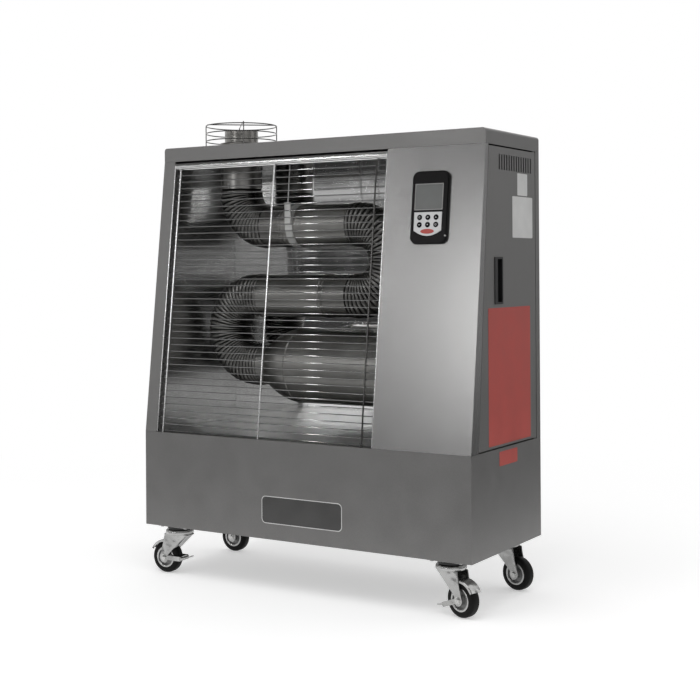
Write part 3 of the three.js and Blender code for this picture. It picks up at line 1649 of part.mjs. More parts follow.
// The origin goes to the middle of the footprint, on the floor.
heater.updateMatrixWorld(true);
const reach = new THREE.Box3().setFromObject(heater, true);
const middle = reach.getCenter(new THREE.Vector3());
heater.position.set(-middle.x, -middle.y, -reach.min.z);
heater.updateMatrixWorld(true);

export default heater;
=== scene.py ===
import json
import math

import bmesh
import bpy
from mathutils import Matrix, Vector

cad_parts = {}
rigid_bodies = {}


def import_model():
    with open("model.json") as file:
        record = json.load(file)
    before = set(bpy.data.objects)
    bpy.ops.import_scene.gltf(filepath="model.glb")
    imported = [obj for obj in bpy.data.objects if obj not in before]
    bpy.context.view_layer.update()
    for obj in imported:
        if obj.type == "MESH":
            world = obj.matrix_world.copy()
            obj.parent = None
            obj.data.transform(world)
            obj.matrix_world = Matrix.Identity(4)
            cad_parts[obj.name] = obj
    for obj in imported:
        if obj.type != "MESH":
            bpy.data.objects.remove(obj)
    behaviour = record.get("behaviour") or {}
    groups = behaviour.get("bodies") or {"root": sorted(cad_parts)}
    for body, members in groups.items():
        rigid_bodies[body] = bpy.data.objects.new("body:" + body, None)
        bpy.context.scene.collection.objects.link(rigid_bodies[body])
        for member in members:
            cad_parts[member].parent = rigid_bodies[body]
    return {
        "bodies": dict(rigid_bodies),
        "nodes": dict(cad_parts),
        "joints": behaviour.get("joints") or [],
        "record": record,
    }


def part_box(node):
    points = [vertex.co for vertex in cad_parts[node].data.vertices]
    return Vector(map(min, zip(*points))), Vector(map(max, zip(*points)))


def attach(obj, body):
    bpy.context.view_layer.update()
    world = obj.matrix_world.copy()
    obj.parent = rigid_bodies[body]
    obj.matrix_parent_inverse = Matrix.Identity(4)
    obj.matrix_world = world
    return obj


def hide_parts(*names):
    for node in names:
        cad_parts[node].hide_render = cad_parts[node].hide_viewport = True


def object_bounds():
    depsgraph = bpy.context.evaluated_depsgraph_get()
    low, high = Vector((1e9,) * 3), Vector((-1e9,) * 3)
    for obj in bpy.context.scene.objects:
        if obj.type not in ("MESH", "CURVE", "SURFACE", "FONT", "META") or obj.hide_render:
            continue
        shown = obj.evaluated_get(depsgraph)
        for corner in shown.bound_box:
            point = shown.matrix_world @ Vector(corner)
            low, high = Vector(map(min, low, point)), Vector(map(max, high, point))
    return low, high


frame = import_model()
nodes = frame["nodes"]
boundsAtLoad = [list(corner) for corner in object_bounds()]
scene = bpy.context.scene
print("frame loaded")

# Places below are in millimetres from the middle of the base's front lower edge.
cabinet = {
    "width": 880,
    "depth": 356,
    "baseHeight": 225.4,
    "upperTop": 882,
    "capTop": 916.3,
    "setback": 78,
    "windowLeft": -407,
    "windowRight": 200,
}
halfWidth = cabinet["width"] / 2
leanAngle = math.atan2(cabinet["setback"], cabinet["upperTop"] - cabinet["baseHeight"])
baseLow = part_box("base_cabinet")[0]
origin = Vector((baseLow.x + halfWidth / 1000, baseLow.y, baseLow.z))
sideways, backwards, upright = Vector((1, 0, 0)), Vector((0, 1, 0)), Vector((0, 0, 1))


def at(x, y, z):
    return origin + Vector((x, y, z)) / 1000


# A place on the leaning front: depth behind its face, up the slope from the base.
def onLean(x, depth, up):
    y = up * math.sin(leanAngle) + depth * math.cos(leanAngle)
    z = cabinet["baseHeight"] + up * math.cos(leanAngle) - depth * math.sin(leanAngle)
    return at(x, y, z)


# Materials

# Most values of a noise lie between these two.
noiseLow, noiseHigh = 0.3, 0.7


# Gives a node its inputs: what another node puts out is linked, and all else is a constant.
def feed(node, values):
    for key, value in values.items():
        if isinstance(value, bpy.types.NodeSocket):
            node.id_data.links.new(value, node.inputs[key])
        else:
            node.inputs[key].default_value = value


def addNode(tree, kind, values, operation=None):
    node = tree.nodes.new("ShaderNode" + kind)
    if operation:
        node.operation = operation
    feed(node, values)
    return node


def mathNode(tree, operation, *values):
    return addNode(tree, "Math", dict(enumerate(values)), operation).outputs["Value"]


def rangeNode(tree, source, low, high, start=0, end=1):
    values = {"Value": source, "From Min": start, "From Max": end, "To Min": low, "To Max": high}
    return addNode(tree, "MapRange", values).outputs["Result"]


def bumpNode(tree, height, strength, depth):
    values = {"Height": height, "Strength": strength, "Distance": depth}
    return addNode(tree, "Bump", values)


# A painted, metal or moulded surface: its colour, roughness and height vary by noise.
def surface(name, color, roughness, metallic, **looks):
    look = {
        "mottle": 0.06,
        "mottleScale": 18,
        "grain": 0.03,
        "grainScale": 1400,
        "roughVary": 0.05,
        "bump": 0.02,
        "bumpDepth": 0.001,
        "waves": 0,
        "wavesScale": 3,
        "waveDepth": 0.01,
        "coat": 0,
        "coatRoughness": 0.25,
        "specular": 0.5,
        "dullUpward": 0,
    }
    look.update(looks)
    material = bpy.data.materials.new(name)
    material.use_nodes = True
    tree = material.node_tree
    shader = tree.nodes["Principled BSDF"]
    coordinates = tree.nodes.new("ShaderNodeTexCoord")

    def noise(scale, detail):
        values = {"Vector": coordinates.outputs["Object"], "Scale": scale, "Detail": detail}
        return addNode(tree, "TexNoise", values).outputs["Fac"]

    def spread(source, middle, reach):
        return rangeNode(tree, source, middle - reach, middle + reach, noiseLow, noiseHigh)

    broad = noise(look["mottleScale"], 3)
    fine = noise(look["grainScale"], 2)
    tone = mathNode(tree, "MULTIPLY", spread(broad, 1, look["mottle"]), spread(fine, 1, look["grain"]))
    tint = addNode(tree, "VectorMath", {0: color, "Scale": tone}, "SCALE")
    rough = spread(broad, roughness, look["roughVary"])
    if look["dullUpward"]:
        facing = addNode(tree, "SeparateXYZ", {"Vector": coordinates.outputs["Normal"]})
        rough = mathNode(tree, "MULTIPLY_ADD", facing.outputs["Z"], look["dullUpward"], rough)
        rough.node.use_clamp = True
    bump = bumpNode(tree, fine, look["bump"], look["bumpDepth"])
    if look["waves"]:
        slow = bumpNode(tree, noise(look["wavesScale"], 1), look["waves"], look["waveDepth"])
        feed(bump, {"Normal": slow.outputs["Normal"]})
    feed(shader, {
        "Base Color": tint.outputs["Vector"],
        "Roughness": rough,
        "Metallic": metallic,
        "Specular IOR Level": look["specular"],
        "Coat Weight": look["coat"],
        "Coat Roughness": look["coatRoughness"],
        "Normal": bump.outputs["Normal"],
    })
    return material


greyPaint = surface("greyPaint", (0.212, 0.209, 0.206), 0.4, 0.5, grain=0.1, bump=0.05, mottle=0.03)
silverPaint = surface(
    "silverPaint", (0.33, 0.327, 0.325), 0.26, 0.8,
    grain=0.08, bump=0.03, mottle=0.02, roughVary=0.01,
)
reflector = surface(
    "reflector", (0.78, 0.78, 0.775), 0.07, 1,
    grain=0.02, bump=0, waves=0.02, roughVary=0.02, dullUpward=0.3,
)
brushedReflector = surface("brushedReflector", (0.66, 0.66, 0.655), 0.24, 1, bump=0, roughVary=0.02)
polishedRail = surface("polishedRail", (0.85, 0.85, 0.84), 0.2, 1, grain=0.01, bump=0, roughVary=0.02)
tubeSteel = surface("tubeSteel", (0.28, 0.276, 0.265), 0.32, 1, mottle=0.12, roughVary=0.045, bump=0.04)
pleatSteel = surface("pleatSteel", (0.22, 0.216, 0.208), 0.3, 1, mottle=0.14, bump=0.04)
# Painted shade: a near black steel for the roots of the pleats, where the creases lie in shade.
pleatRootShade = surface("pleatRootShade", (0.05, 0.049, 0.047), 0.5, 1, mottle=0.2, bump=0.05)
flueSteel = surface("flueSteel", (0.2, 0.195, 0.185), 0.3, 1, mottle=0.15, bump=0.04)
wireSteel = surface("wireSteel", (0.42, 0.42, 0.42), 0.05, 1, bump=0, roughVary=0.01)
cageSteel = surface("cageSteel", (0.1, 0.098, 0.095), 0.2, 1, bump=0, roughVary=0.03)
chrome = surface("chrome", (0.8, 0.8, 0.8), 0.16, 1, bump=0.01, roughVary=0.03)
clampSteel = surface("clampSteel", (0.62, 0.62, 0.61), 0.42, 0.45, mottle=0.08)
zinc = surface(
    "zinc", (0.42, 0.42, 0.415), 0.24, 1,
    bump=0.03, mottle=0.2, roughVary=0.02, waves=0.5, wavesScale=40,
)
sheetSteel = surface("sheetSteel", (0.5, 0.5, 0.495), 0.34, 1, mottle=0.08, roughVary=0.04)
boltSteel = surface("boltSteel", (0.56, 0.56, 0.55), 0.22, 1)
blackPlastic = surface("blackPlastic", (0.012, 0.012, 0.013), 0.4, 0, bump=0.05)
unitBlack = surface("unitBlack", (0.009, 0.0085, 0.009), 0.26, 0, roughVary=0.012, specular=0.12)
gloss = surface("glossBlack", (0.006, 0.006, 0.007), 0.24, 0, bump=0.01, roughVary=0.02, specular=0.06)
silverPlastic = surface("silverPlastic", (0.66, 0.66, 0.665), 0.36, 0.15, bump=0.04)
lcd = surface("lcd", (0.14, 0.145, 0.142), 0.2, 0, bump=0.01, coat=0.4, roughVary=0.02)
lensFrame = surface("lensFrame", (0.24, 0.24, 0.235), 0.3, 0.1)
rubber = surface("rubber", (0.006, 0.006, 0.006), 0.5, 0, bump=0.12, mottle=0.15, specular=0.14)
hubPlastic = surface("hubPlastic", (0.3, 0.3, 0.3), 0.35, 0.3, bump=0.06)
hubRim = surface("hubRim", (0.46, 0.46, 0.455), 0.24, 1, bump=0.03, roughVary=0.02)
tankPlastic = surface("tankPlastic", (0.02, 0.02, 0.021), 0.5, 0, bump=0.06)
redPlastic = surface("redPlastic", (0.42, 0.03, 0.02), 0.35, 0, bump=0.03)
redPlate = surface("redPlate", (0.5, 0.09, 0.076), 0.42, 0, bump=0.03, specular=0.3)
palePlate = surface("palePlate", (0.78, 0.78, 0.77), 0.45, 0, bump=0.03)
badgePaint = surface("badgePaint", (0.085, 0.084, 0.083), 0.36, 0.3, grain=0.06, bump=0.03)
alloy = surface("alloy", (0.38, 0.38, 0.38), 0.45, 0.9, bump=0.1)
whiteMark = surface("whiteMark", (0.6, 0.6, 0.6), 0.4, 0, bump=0.01)
# Painted shade: near black for the swivel race, standing for the shaded gap between plate and crown.
raceShade = surface("raceShade", (0.03, 0.03, 0.03), 0.4, 0.3, grain=0.08, bump=0.05)
print("materials made")


# Meshes


# Turns the faces of a closed mesh outwards, and leaves an open sheet as it is.
def faceOutward(mesh):
    solid = bmesh.new()
    solid.from_mesh(mesh)
    if all(edge.is_manifold for edge in solid.edges):
        bmesh.ops.recalc_face_normals(solid, faces=solid.faces)
        solid.to_mesh(mesh)
    solid.free()


def piece(name, points, faces, material, body="cabinet", stands=(), sharp=35, outward=True):
    mesh = bpy.data.meshes.new(name)
    mesh.from_pydata([tuple(p) for p in points], [], faces)
    mesh.validate()
    if outward:
        faceOutward(mesh)
    mesh.materials.append(material)
    mesh.shade_smooth()
    mesh.set_sharp_from_angle(angle=math.radians(sharp))
    obj = bpy.data.objects.new(name, mesh)
    scene.collection.objects.link(obj)
    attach(obj, body)
    if stands:
        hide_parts(*stands)
    return obj


# Equal steps of one turn, in radians.
def turns(count):
    return [2 * math.pi * i / count for i in range(count)]


# Points and faces over equal rings: closed to a loop, or else with a cap at each end.
def skin(rings, closed=True):
    points, count = [p for ring in rings for p in ring], len(rings[0])
    faces = []
    for i in range(len(rings) if closed else len(rings) - 1):
        a, b = i * count, (i + 1) % len(rings) * count
        for j in range(count):
            k = (j + 1) % count
            faces.append((a + j, a + k, b + k, b + j))
    if not closed:
        faces += [tuple(range(count)), tuple(range(len(points) - count, len(points)))]
    return points, faces


# Rings of a profile of (along, radius) in millimetres, turned about an axis through centre.
def turnedRings(profile, centre, axis, sides):
    u = upright if abs(axis.z) < 0.9 else sideways
    u = (u - axis * u.dot(axis)).normalized()
    v = axis.cross(u)
    rings = []
    for along, radius in profile:
        outs = [(u * math.cos(t) + v * math.sin(t)) * radius for t in turns(sides)]
        rings.append([centre + (axis * along + out) / 1000 for out in outs])
    return rings


def turned(name, profile, centre, axis, material, sides, **keys):
    return piece(name, *skin(turnedRings(profile, centre, axis, sides)), material, **keys)


# Points and faces of a round wire through places, mitred at its bends.
def wireAlong(places, radius, sides=10):
    rings = []
    for i, here in enumerate(places):
        before = places[max(i - 1, 0)]
        after = places[min(i + 1, len(places) - 1)]
        along = (after - before).normalized()
        u = upright if abs(along.z) < 0.8 else backwards
        u = (u - along * u.dot(along)).normalized()
        v = along.cross(u)
        rings.append([here + (u * math.cos(t) + v * math.sin(t)) * radius / 1000 for t in turns(sides)])
    return skin(rings, closed=False)


def moved(outline, x, y):
    return [(u + x, v + y) for u, v in outline]


def merged(parts):
    points, faces = [], []
    for morePoints, moreFaces in parts:
        shift = len(points)
        points += morePoints
        faces += [tuple(i + shift for i in face) for face in moreFaces]
    return points, faces


roundingSteps, roundingAngle = 2, math.radians(40)


def rounded(obj, width):
    modifier = obj.modifiers.new("rounding", "BEVEL")
    modifier.width = width / 1000
    modifier.segments = roundingSteps
    modifier.limit_method = "ANGLE"
    modifier.angle_limit = roundingAngle
    modifier.harden_normals = False


# A CAD node with a finish and, on its sharp edges, a small rounding.
def dress(name, material, bevel=0):
    obj = nodes[name]
    obj.data.materials.clear()
    obj.data.materials.append(material)
    if bevel:
        rounded(obj, bevel)


# CAD nodes that need no more than a finish and a rounding

finishes = [
    (greyPaint, 0, ["rear_panel", "service_door"]),
    (greyPaint, 0.4, ["left_side_panel"]),
    (greyPaint, 0.5, ["top_cap"]),
    (greyPaint, 0.8, ["base_cabinet"]),
    (silverPaint, 0.9, ["front_control_panel"]),
    (sheetSteel, 0, ["partition_wall"]),
    (reflector, 0, ["rear_reflector"]),
    (brushedReflector, 0, ["left_reflector"]),
    (zinc, 0, ["door_hinge_rod"]),
    (alloy, 0, ["burner_housing", "fuel_pump", "fuel_filter"]),
    (tankPlastic, 0, ["fuel_tank"]),
    (redPlastic, 0.8, ["fuel_cap"]),
    (blackPlastic, 0, ["burner_motor", "burner_fan", "ignition_transformer"]),
    (blackPlastic, 0.4, ["power_inlet"]),
    (blackPlastic, 0.5, ["door_handle"]),
    (silverPlastic, 0, ["electrical_box", "keypad_plate"]),
    (unitBlack, 1.1, ["control_unit_housing"]),
    (lcd, 0.3, ["display_lens"]),
]
for material, bevel, names in finishes:
    for name in names:
        dress(name, material, bevel)
print("frame dressed")

# Heat tube

tube = {
    "y": 200,
    "radius": 51,
    "bore": 48,
    "pleatBore": 46.4,
    "crest": 53,
    "root": 47.4,
    "pitch": 9.4,
    "pleatShares": (0, 0.1, 0.22, 0.36, 0.5, 0.64, 0.78, 0.9),
    "pleatPower": 0.6,
    "collarRise": 2.5,
    "bend": 84.5,
    "lowZ": 382.5,
    "beadHeight": 1.8,
    "beadWidth": 5,
    "beadInset": 5,
    "beadPower": 0.8,
    "beadSteps": 8,
    "leftBendX": -247,
    "leftLead": 26,
    "rightBendX": 52,
    "rightLead": 14,
    "middleJoint": -35,
    "upperJoint": -144,
    "flueX": -294,
    "flueTop": 872,
    "flueLead": 8,
    "gap": 0.3,
    "sides": 72,
    "paintedShadeDepth": 0.1,
    "boreSteps": 24,
}
middleZ = tube["lowZ"] + 2 * tube["bend"]
upperZ = middleZ + 2 * tube["bend"]


# A straight lead, a bend and a straight tail, all at the tube's depth.
class BendPath:
    def __init__(self, start, heading, lead, turn, tail):
        self.start, self.heading, self.lead, self.turn = start, heading, lead, turn
        self.side = math.copysign(1, turn)
        self.bendLength = abs(turn) * tube["bend"]
        self.length = lead + self.bendLength + tail
        self.bendStart = self.step(start, heading, lead)
        self.centre = self.step(self.bendStart, heading + self.side * math.pi / 2, tube["bend"])
        self.bendEnd = self.step(self.centre, heading + turn - self.side * math.pi / 2, tube["bend"])

    def step(self, origin, angle, distance):
        return (origin[0] + distance * math.cos(angle), origin[1] + distance * math.sin(angle))

    def place(self, s):
        if s <= self.lead:
            return self.step(self.start, self.heading, s), self.heading
        if s >= self.lead + self.bendLength:
            angle = self.heading + self.turn
            return self.step(self.bendEnd, angle, s - self.lead - self.bendLength), angle
        angle = self.heading + self.side * (s - self.lead) / tube["bend"]
        return self.step(self.centre, angle - self.side * math.pi / 2, tube["bend"]), angle

    def ring(self, s, radius):
        (x, z), angle = self.place(s)
        points = []
        for around in turns(tube["sides"]):
            out = radius * math.cos(around)
            y = tube["y"] + radius * math.sin(around)
            points.append(at(x - out * math.sin(angle), y, z + out * math.cos(angle)))
        return points


# Rounded crests between creased roots.
def pleats(start, end):
    count = round((end - start) / tube["pitch"])
    pitch = (end - start) / count
    rise = tube["crest"] - tube["root"]
    stations = []
    for i in range(count):
        for phase in tube["pleatShares"]:
            height = math.sin(math.pi * phase) ** tube["pleatPower"]
            stations.append((start + (i + phase) * pitch, tube["root"] + rise * height))
    stations.append((end, tube["root"]))
    return stations


# The outside of a smooth end with its rolled bead, from the end inwards.
def collar(end, inward):
    bead = end + inward * tube["beadInset"]
    reach = tube["beadWidth"] / 2
    stations = [(end, tube["radius"])]
    for i in range(tube["beadSteps"] + 1):
        t = i / tube["beadSteps"]
        height = math.sin(math.pi * t) ** tube["beadPower"] * tube["beadHeight"]
        stations.append((bead + inward * reach * (2 * t - 1), tube["radius"] + height))
    return stations


# A tube along a path, with painted shade in the roots of its pleats: a near black material there.
def tubePiece(name, path, outer, node):
    rings = [path.ring(s, r) for s, r in outer]
    steps = tube["boreSteps"]
    rings += [path.ring(path.length * i / steps, tube["pleatBore"]) for i in range(steps, -1, -1)]
    obj = piece(name, *skin(rings), pleatSteel, stands=[node], sharp=50)
    # The faces in the roots of the pleats get the painted shade.
    obj.data.materials.append(pleatRootShade)
    deep = tube["root"] + tube["paintedShadeDepth"]
    for i in range(len(outer) - 1):
        if min(outer[i][1], outer[i + 1][1]) < deep:
            for j in range(tube["sides"]):
                obj.data.polygons[i * tube["sides"] + j].material_index = 1


def makeBends():
    gap, rise = tube["gap"], tube["collarRise"]
    lead = tube["leftLead"] - gap
    left = BendPath((tube["leftBendX"] + lead, middleZ), math.pi, lead, math.pi, lead)
    tubePiece("left_bend", left, pleats(0, left.length), "left_return_bend")

    lead = tube["rightLead"] - gap
    tail = tube["rightBendX"] - tube["middleJoint"] - gap
    right = BendPath((tube["rightBendX"] - lead, upperZ), 0, lead, -math.pi, tail)
    end = lead + right.bendLength + tube["rightLead"]
    outer = pleats(0, end) + [(end + rise, tube["radius"])] + collar(right.length, -1)[::-1]
    tubePiece("right_bend", right, outer, "right_return_bend")

    lead = tube["flueTop"] - upperZ - tube["bend"]
    tail = tube["upperJoint"] - gap - (tube["flueX"] + tube["bend"])
    elbow = BendPath((tube["flueX"], tube["flueTop"]), -math.pi / 2, lead, math.pi / 2, tail)
    begin = lead - tube["flueLead"]
    end = lead + elbow.bendLength
    outer = [(0, tube["radius"]), (begin - rise, tube["radius"])] + pleats(begin, end)
    outer += [(end + rise, tube["radius"])] + collar(elbow.length, -1)[::-1]
    tubePiece("elbow", elbow, outer, "flue_elbow")


def straightTube(name, x0, x1, z, outer, node):
    profile = outer + [(x1, tube["bore"]), (x0, tube["bore"])]
    turned(name, profile, at(0, tube["y"], z), sideways, tubeSteel, 96, stands=[node], sharp=40)


def makeStraights():
    x0 = tube["upperJoint"]
    x1 = tube["rightBendX"] - tube["rightLead"]
    straightTube("upper_run", x0, x1, upperZ, collar(x0, 1) + [(x1, tube["radius"])], "upper_tube")
    x0 = tube["leftBendX"] + tube["leftLead"]
    x1 = tube["middleJoint"]
    outer = [(x0, tube["radius"])] + collar(x1, -1)[::-1]
    straightTube("middle_run", x0, x1, middleZ, outer, "middle_tube")


# The chamber's seam and its inner knee are measured from the ends of its cone.
chamber = {
    "coneStart": -200,
    "coneLength": 88,
    "coneCurve": 1.7,
    "coneSteps": 12,
    "radius": 90,
    "inner": 88,
    "seam": ((1, 0.9), (2.5, 1.4), (4, 0.9), (5, 0)),
    "innerInset": 2,
    "innerKnee": (28, 72),
    "end": 202.7,
    "flange": (4, 98, 56),
}


def makeChamber():
    start = tube["leftBendX"] + tube["leftLead"] + tube["gap"]
    neck, radius, inner = tube["radius"], chamber["radius"], chamber["inner"]
    coneStart, steps = chamber["coneStart"], chamber["coneSteps"]
    coneEnd = coneStart + chamber["coneLength"]
    profile = [(start, neck), (coneStart, neck)]
    for i in range(1, steps + 1):
        t = i / steps
        rise = (radius - neck) * (1 - (1 - t) ** chamber["coneCurve"])
        profile.append((coneStart + chamber["coneLength"] * t, neck + rise))
    profile += [(coneEnd + x, radius + height) for x, height in chamber["seam"]]
    end, (thickness, flange, hole) = chamber["end"], chamber["flange"]
    face = end - thickness
    profile += [(face, radius), (face, flange), (end, flange), (end, hole), (face, hole), (face, inner)]
    inset, (back, knee) = chamber["innerInset"], chamber["innerKnee"]
    profile += [(coneEnd + inset, inner), (coneEnd - back, knee), (coneStart + inset, tube["bore"])]
    profile.append((start, tube["bore"]))
    centre = at(0, tube["y"], tube["lowZ"])
    turned("chamber", profile, centre, sideways, tubeSteel, 128, stands=["combustion_chamber"], sharp=30)


makeBends()
makeStraights()
makeChamber()
dress("tube_clamp", clampSteel, 0.3)
print("heat tube made")

# Wire guard

guard = {
    "wires": 40,
    "first": 5.2,
    "pitch": 15.941,
    "radius": 1.25,
    "sides": 12,
    "depth": 6.2,
    "stays": (-388.8, -108, 170.9),
    "stayRadius": 2,
    "stayDepth": 3.1,
    "staySides": 16,
    "bottom": 0.6,
    "left": -406.7,
    "right": 197,
    "top": 639.7,
    "rail": (8.5, 650.3, 6.5, 10.3),
    "railSides": 32,
    "railRight": 199.7,
    "fold": 1.4,
    "foldDepth": 1.5,
    "foldBottom": 1,
    "foldTop": 652,
}


def makeWireGuard():
    parts = []
    for i in range(guard["wires"]):
        up = guard["first"] + i * guard["pitch"]
        ends = [onLean(guard[side], guard["depth"], up) for side in ("left", "right")]
        parts.append(wireAlong(ends, guard["radius"], guard["sides"]))
    piece("guard_wires", *merged(parts), wireSteel, stands=["wire_guard"], sharp=60)
    stays = []
    for x in guard["stays"]:
        ends = [onLean(x, guard["stayDepth"], up) for up in (guard["bottom"], guard["top"])]
        stays.append(wireAlong(ends, guard["stayRadius"], guard["staySides"]))
    piece("guard_stays", *merged(stays[:2]), chrome, sharp=60)
    # Painted shade: the right stay is darker than the other two, so it gets the dark cage steel instead of
    # chrome.
    piece("guard_shaded_stay", *stays[2], cageSteel, sharp=60)


# The rounded top rail and the folded edges at the window's two sides.
def makeWindowEdges():
    depth, up, halfDepth, halfHeight = guard["rail"]
    outline = [
        (depth - halfDepth * math.cos(t), up + halfHeight * math.sin(t)) for t in turns(guard["railSides"])
    ]
    rings = [[onLean(x, *place) for place in outline] for x in (guard["left"], guard["railRight"])]
    piece("guard_rail", *skin(rings, closed=False), polishedRail, stands=["guard_top_rail"], sharp=60)
    parts = []
    for x in (cabinet["windowLeft"] + guard["fold"], cabinet["windowRight"] - guard["fold"]):
        ends = [onLean(x, guard["foldDepth"], up) for up in (guard["foldBottom"], guard["foldTop"])]
        parts.append(wireAlong(ends, guard["fold"], guard["staySides"]))
    piece("window_folds", *merged(parts), chrome, sharp=60)


makeWireGuard()
makeWindowEdges()
print("guard made")

# Chimney

chimney = {
    "x": -294,
    "y": 200,
    "skirt": 55.5,
    "skirtHeight": 14,
    "skirtRound": 4,
    "roundSteps": 6,
    "seat": 0.3,
    "stub": 41.4,
    "stubBottom": -40,
    "bore": 38.6,
    "top": 43.5,
    "cage": 88,
    "wire": 1.35,
    "rings": (19, 38, 57),
    "ringSides": 64,
    "wireSides": 10,
    "height": 61,
    "corner": 7,
    "cornerSteps": 5,
    "turn": 40,
    "foot": 8,
    "ankle": (1.5, 2),
}


def makeSpigot(centre):
    skirt, bend, steps = chimney["skirt"], chimney["skirtRound"], chimney["roundSteps"]
    shoulder = chimney["skirtHeight"] - bend
    stub, bore, bottom, seat = chimney["stub"], chimney["bore"], chimney["stubBottom"], chimney["seat"]
    profile = [(bottom, bore), (bottom, stub), (seat, stub), (seat, skirt), (shoulder, skirt)]
    for i in range(steps):
        angle = math.pi / 2 * (i + 1) / steps
        profile.append((shoulder + bend * math.sin(angle), skirt - bend + bend * math.cos(angle)))
    profile += [(chimney["skirtHeight"], stub), (chimney["top"], stub), (chimney["top"], bore)]
    turned("spigot", profile, centre, upright, flueSteel, 96, stands=["chimney_spigot"], sharp=30)


# Hoops, and two arched wires that cross over the chimney and stand on the cap.
def makeCage(centre):
    parts = []
    wire, cage = chimney["wire"], chimney["cage"]
    section = [(wire * math.sin(t), wire * math.cos(t)) for t in turns(chimney["wireSides"])]
    for height in chimney["rings"]:
        profile = [(height + rise, cage + out) for rise, out in section]
        parts.append(skin(turnedRings(profile, centre, upright, chimney["ringSides"])))
    height, corner, steps = chimney["height"], chimney["corner"], chimney["cornerSteps"]
    floor, (ankleOut, ankleUp) = chimney["seat"] + wire, chimney["ankle"]
    for k in range(2):
        angle = math.radians(chimney["turn"]) + k * math.pi / 2
        across = Vector((math.cos(angle), math.sin(angle), 0))
        half = [(-cage - chimney["foot"], floor), (-cage - ankleOut, floor), (-cage, floor + ankleUp)]
        half.append((-cage, height - corner))
        for i in range(steps):
            t = math.pi / 2 * (i + 1) / steps
            half.append((-cage + corner * (1 - math.cos(t)), height - corner + corner * math.sin(t)))
        places = half + [(-u, z) for u, z in reversed(half)]
        parts.append(wireAlong([centre + (across * u + upright * z) / 1000 for u, z in places], wire))
    piece("chimney_cage", *merged(parts), cageSteel, stands=["chimney_guard"], sharp=60)


chimneyCentre = at(chimney["x"], chimney["y"], cabinet["capTop"])
makeSpigot(chimneyCentre)
makeCage(chimneyCentre)
print("chimney made")

# Casters

caster = {
    "endInset": 70,
    "inset": 42,
    "mountGap": 0.3,
    "trail": 35,
    "axleZ": -81.7,
    "plate": (92, 64, 3),
    "plateCorner": 8,
    "boltSpread": (35, 22),
    "bolt": (5, 3, 0.2),
    "crownTop": -11.3,
    "crownBottom": -22.6,
    "crownRadius": 34,
    "race": 29.5,
    "halfInner": 13.3,
    "sheet": 2.4,
    "eye": 12,
    "corner": 4,
    "apronEnd": -55,
    "wheel": 38,
    "halfWidth": 12.5,
    "hood": (28, 100),
    "hoodGap": 2.6,
    "hoodSteps": 22,
    "places": {
        "front_right": (1, -1, -16, True),
        "front_left": (-1, -1, 183, True),
        "rear_right": (1, 1, -12, False),
        "rear_left": (-1, 1, 180, False),
    },
}
# The fork seen from the side: its two edges, from the crown down to the eye.
forkSide = {
    "overlap": 0.6,
    "front": -31.3,
    "rear": 32.6,
    "neck": 10.4,
    "frontCurve": 0.92,
    "rearCurve": 1.3,
    "levels": 18,
    "levelStep": 3,
    "eyeEndShare": 0.985,
    "cornerSteps": 5,
}
# Half the outline of the hub, and the outline of a rim, as (along the axle, radius).
hubHalf = [
    (-12.3, 4.4), (-12.3, 8.4), (-11.8, 9), (-4.4, 9.5), (-3.4, 10.6), (-3.4, 13), (-4.2, 13.3),
    (-4.2, 14.1), (-3.4, 14.4), (-3.4, 19.2), (-4.4, 20.2), (-11.4, 21.1), (-12.3, 21.9), (-12.3, 24.2),
    (-11.6, 25),
]
rimOutline = [(11.9, 20.6), (12.5, 21.6), (12.5, 24.4), (11.9, 25.2), (11.2, 24.6), (11.2, 21.2)]


# Places of one caster: its own frame has the swivel axis upright and trails towards +x.
class CasterFrame:
    def __init__(self, side, end, heading):
        x = side * (halfWidth - caster["endInset"])
        y = caster["inset"] if end < 0 else cabinet["depth"] - caster["inset"]
        self.mount = Vector((x, y, -caster["mountGap"]))
        self.turn = Matrix.Rotation(math.radians(heading), 3, "Z")

    def fixed(self, x, y, z):
        return at(*(self.mount + Vector((x, y, z))))

    def swivelled(self, x, y, z):
        return at(*(self.mount + self.turn @ Vector((x, y, z))))

    def axle(self):
        return self.swivelled(caster["trail"], 0, caster["axleZ"])

    def across(self):
        return self.turn @ backwards


def roundedOutline(x, y, radius, steps=5):
    outline = []
    for cx, cy, start in ((x, y, 0), (-x, y, 90), (-x, -y, 180), (x, -y, 270)):
        sx, sy = math.copysign(x - radius, cx), math.copysign(y - radius, cy)
        for i in range(steps + 1):
            angle = math.radians(start + 90 * i / steps)
            outline.append((sx + radius * math.cos(angle), sy + radius * math.sin(angle)))
    return outline


def prism(outline, low, high, place):
    return skin([[place(x, y, z) for x, y in outline] for z in (low, high)], closed=False)


def makePlate(name, frame):
    length, width, thickness = caster["plate"]
    outline = roundedOutline(length / 2, width / 2, caster["plateCorner"])
    parts = [prism(outline, -thickness, 0, frame.fixed)]
    radius, height, sink = caster["bolt"]
    hexagon = [(radius * math.cos(t), radius * math.sin(t)) for t in turns(6)]
    for sx in (-1, 1):
        for sy in (-1, 1):
            head = moved(hexagon, sx * caster["boltSpread"][0], sy * caster["boltSpread"][1])
            parts.append(prism(head, -thickness - height, sink - thickness, frame.fixed))
    obj = piece("plate_" + name, *merged(parts), zinc, stands=["caster_plate_" + name])
    rounded(obj, 0.5)
    r = caster["race"]
    profile = [(-11, 4), (-11, r - 3), (-9.4, r - 0.6), (-7, r), (-4.6, r - 0.6), (-2.9, r - 3), (-2.9, 4)]
    # The swivel race is a real part; its near black is painted shade for the gap between plate and crown.
    turned("race_" + name, profile, frame.fixed(0, 0, 0), upright, raceShade, 72)


